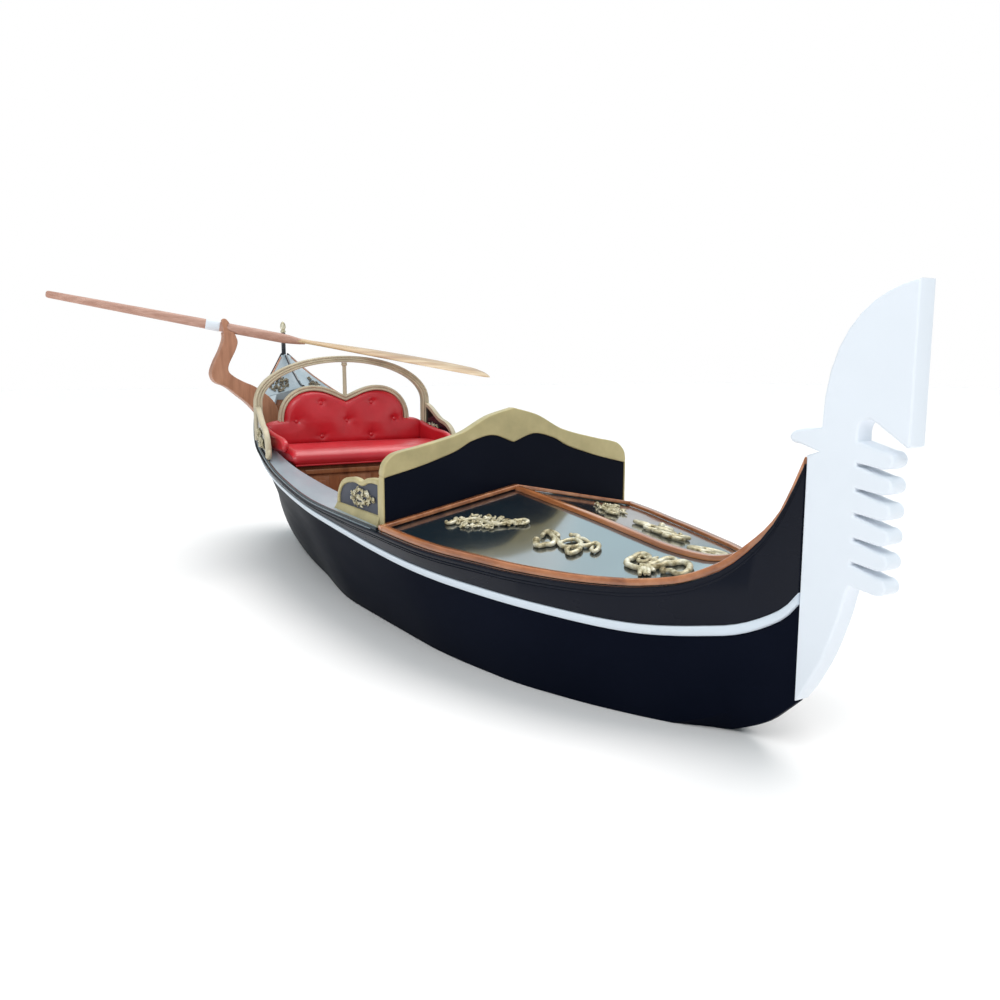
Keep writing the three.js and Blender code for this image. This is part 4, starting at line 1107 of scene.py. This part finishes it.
# ---- Floors ----
def make_floors():
    def planks(name, x0, x1, z, count, node):
        shape = bmesh.new()
        for a, b in strips(count):
            rings = []
            for x in spread(x0, x1, 20):
                half = inside_half(x, z - 5) + 1
                y0, y1 = a * half + 0.3, b * half - 0.3
                rings.append([(x, y, h) for y, h in (
                    (y0, z - 5), (y1, z - 5), (y1, z - 0.7), (y1 - 0.7, z), (y0 + 0.7, z), (y0, z - 0.7))])
            add_loft(shape, rings)
        finish(name, shape, "floor_wood", replaces=(node,))
    planks("floor_planks", ARCH_X - 40, SCREEN_X - 14, FLOOR_Z, 9, "floorboards")
    planks("platform_planks", AFT_DECK_X - 1, -474, 205, 7, "rower_platform")


# ---- Oarlock and oar ----
CROOK = Vector((-459, -200, 409))
OAR_TIP = Vector((-345, 275, 320.4))
OAR_BUTT = Vector((-525, -475, 460.29))
OAR_R, BLADE_LONG, BLADE_ROLL, PART_ROLL = 8.5, 355, radians(22), radians(8)


def make_oarlock():
    """The oarlock's carved shape, softened all over."""
    source = frame["nodes"]["oarlock"]
    work = bpy.data.objects.new("oarlock_work", source.data.copy())
    bpy.context.collection.objects.link(work)
    work.matrix_world = source.matrix_world
    remesh = work.modifiers.new("remesh", "REMESH")
    remesh.mode = "VOXEL"
    remesh.voxel_size = 0.0012
    soften = work.modifiers.new("soften", "SMOOTH")
    soften.factor = 0.5
    soften.iterations = 9
    bpy.context.view_layer.update()
    carved = work.evaluated_get(bpy.context.evaluated_depsgraph_get()).to_mesh()
    shape = bmesh.new()
    shape.from_mesh(carved)
    bmesh.ops.transform(shape, matrix=Matrix.Scale(1000, 4) @ work.matrix_world, verts=shape.verts)
    bpy.data.objects.remove(work)
    finish("carved_oarlock", shape, "beech", body="oarlock", replaces=("oarlock",), angle=60)


def make_oar():
    forward = (OAR_TIP - OAR_BUTT).normalized()
    level = forward.cross(Vector((0, 0, 1))).normalized()
    up = level.cross(forward)
    flat = level * cos(BLADE_ROLL) - up * sin(BLADE_ROLL)
    thick = level * sin(BLADE_ROLL) + up * cos(BLADE_ROLL)
    shaft_long = (OAR_TIP - OAR_BUTT).length - BLADE_LONG
    loom = [(0.2, 0), (3.8, 0.3), (5.2, 1.6), (6, 4), (6.6, 60), (7.6, 150), (OAR_R, 250),
            (OAR_R, shaft_long - 42), (7.6, shaft_long - 28), (5.4, shaft_long - 10), (3.6, shaft_long)]
    build("oar_loom", "oar_wood", add_turned, loom, OAR_BUTT, forward, 32, body="oar",
          replaces=("oar_shaft",), angle=50)
    band = [(OAR_R - 0.3, 0), (OAR_R + 0.4, 0.3), (OAR_R + 0.7, 1.2), (OAR_R + 0.7, 22.8),
            (OAR_R + 0.4, 23.7), (OAR_R - 0.3, 24)]
    at = OAR_BUTT + forward * ((CROOK - OAR_BUTT).length - 32)
    build("oar_band", "white_paint", add_turned, band, at, forward, 36, body="oar", replaces=("oar_collar",))
    half = through([(-30, 5.5), (0, 7), (60, 12.6), (150, 18.8), (250, 22), (320, 20.5), (340, 15), (350, 9),
                    (355, 3)])
    deep = through([(-30, 4.6), (0, 4), (40, 3.6), (150, 3.2), (300, 2.4), (348, 1.6), (355, 0.6)])
    section = [(-1, 0), (-0.93, 0.32), (-0.6, 0.62), (-0.25, 0.88), (0, 1), (0.25, 0.88), (0.6, 0.62),
               (0.93, 0.32), (1, 0), (0.93, -0.32), (0.6, -0.62), (0, -0.9), (-0.6, -0.62), (-0.93, -0.32)]
    rings = []
    for s in spread(-30, 320, 8) + spread(324, BLADE_LONG, 3):
        w, d = half(s), deep(s)
        lift = w * (sin(BLADE_ROLL) - sin(PART_ROLL))
        center = OAR_BUTT + forward * (shaft_long + s) + up * lift
        rings.append([center + flat * (a * w) + thick * (b * d) for a, b in section])
    build("oar_leaf", "blade_wood", add_loft, rings, body="oar", replaces=("oar_blade",), angle=50)


for make in (make_hull, make_side_strips, make_foredeck, make_side_decks, make_deck_ornaments, make_bow_iron,
             make_screen, make_cheeks, make_seat_back, make_cushion, make_seat_base, make_arch, make_stern,
             make_floors, make_oarlock, make_oar):
    make()

CAD_LOOKS = {n["node"]: n["material_slot"] for n in frame["record"]["subparts"]}
for node, piece in frame["nodes"].items():
    slot = CAD_LOOKS.get(node, "black_lacquer")
    piece.data.materials.clear()
    piece.data.materials.append(LOOKS[slot])
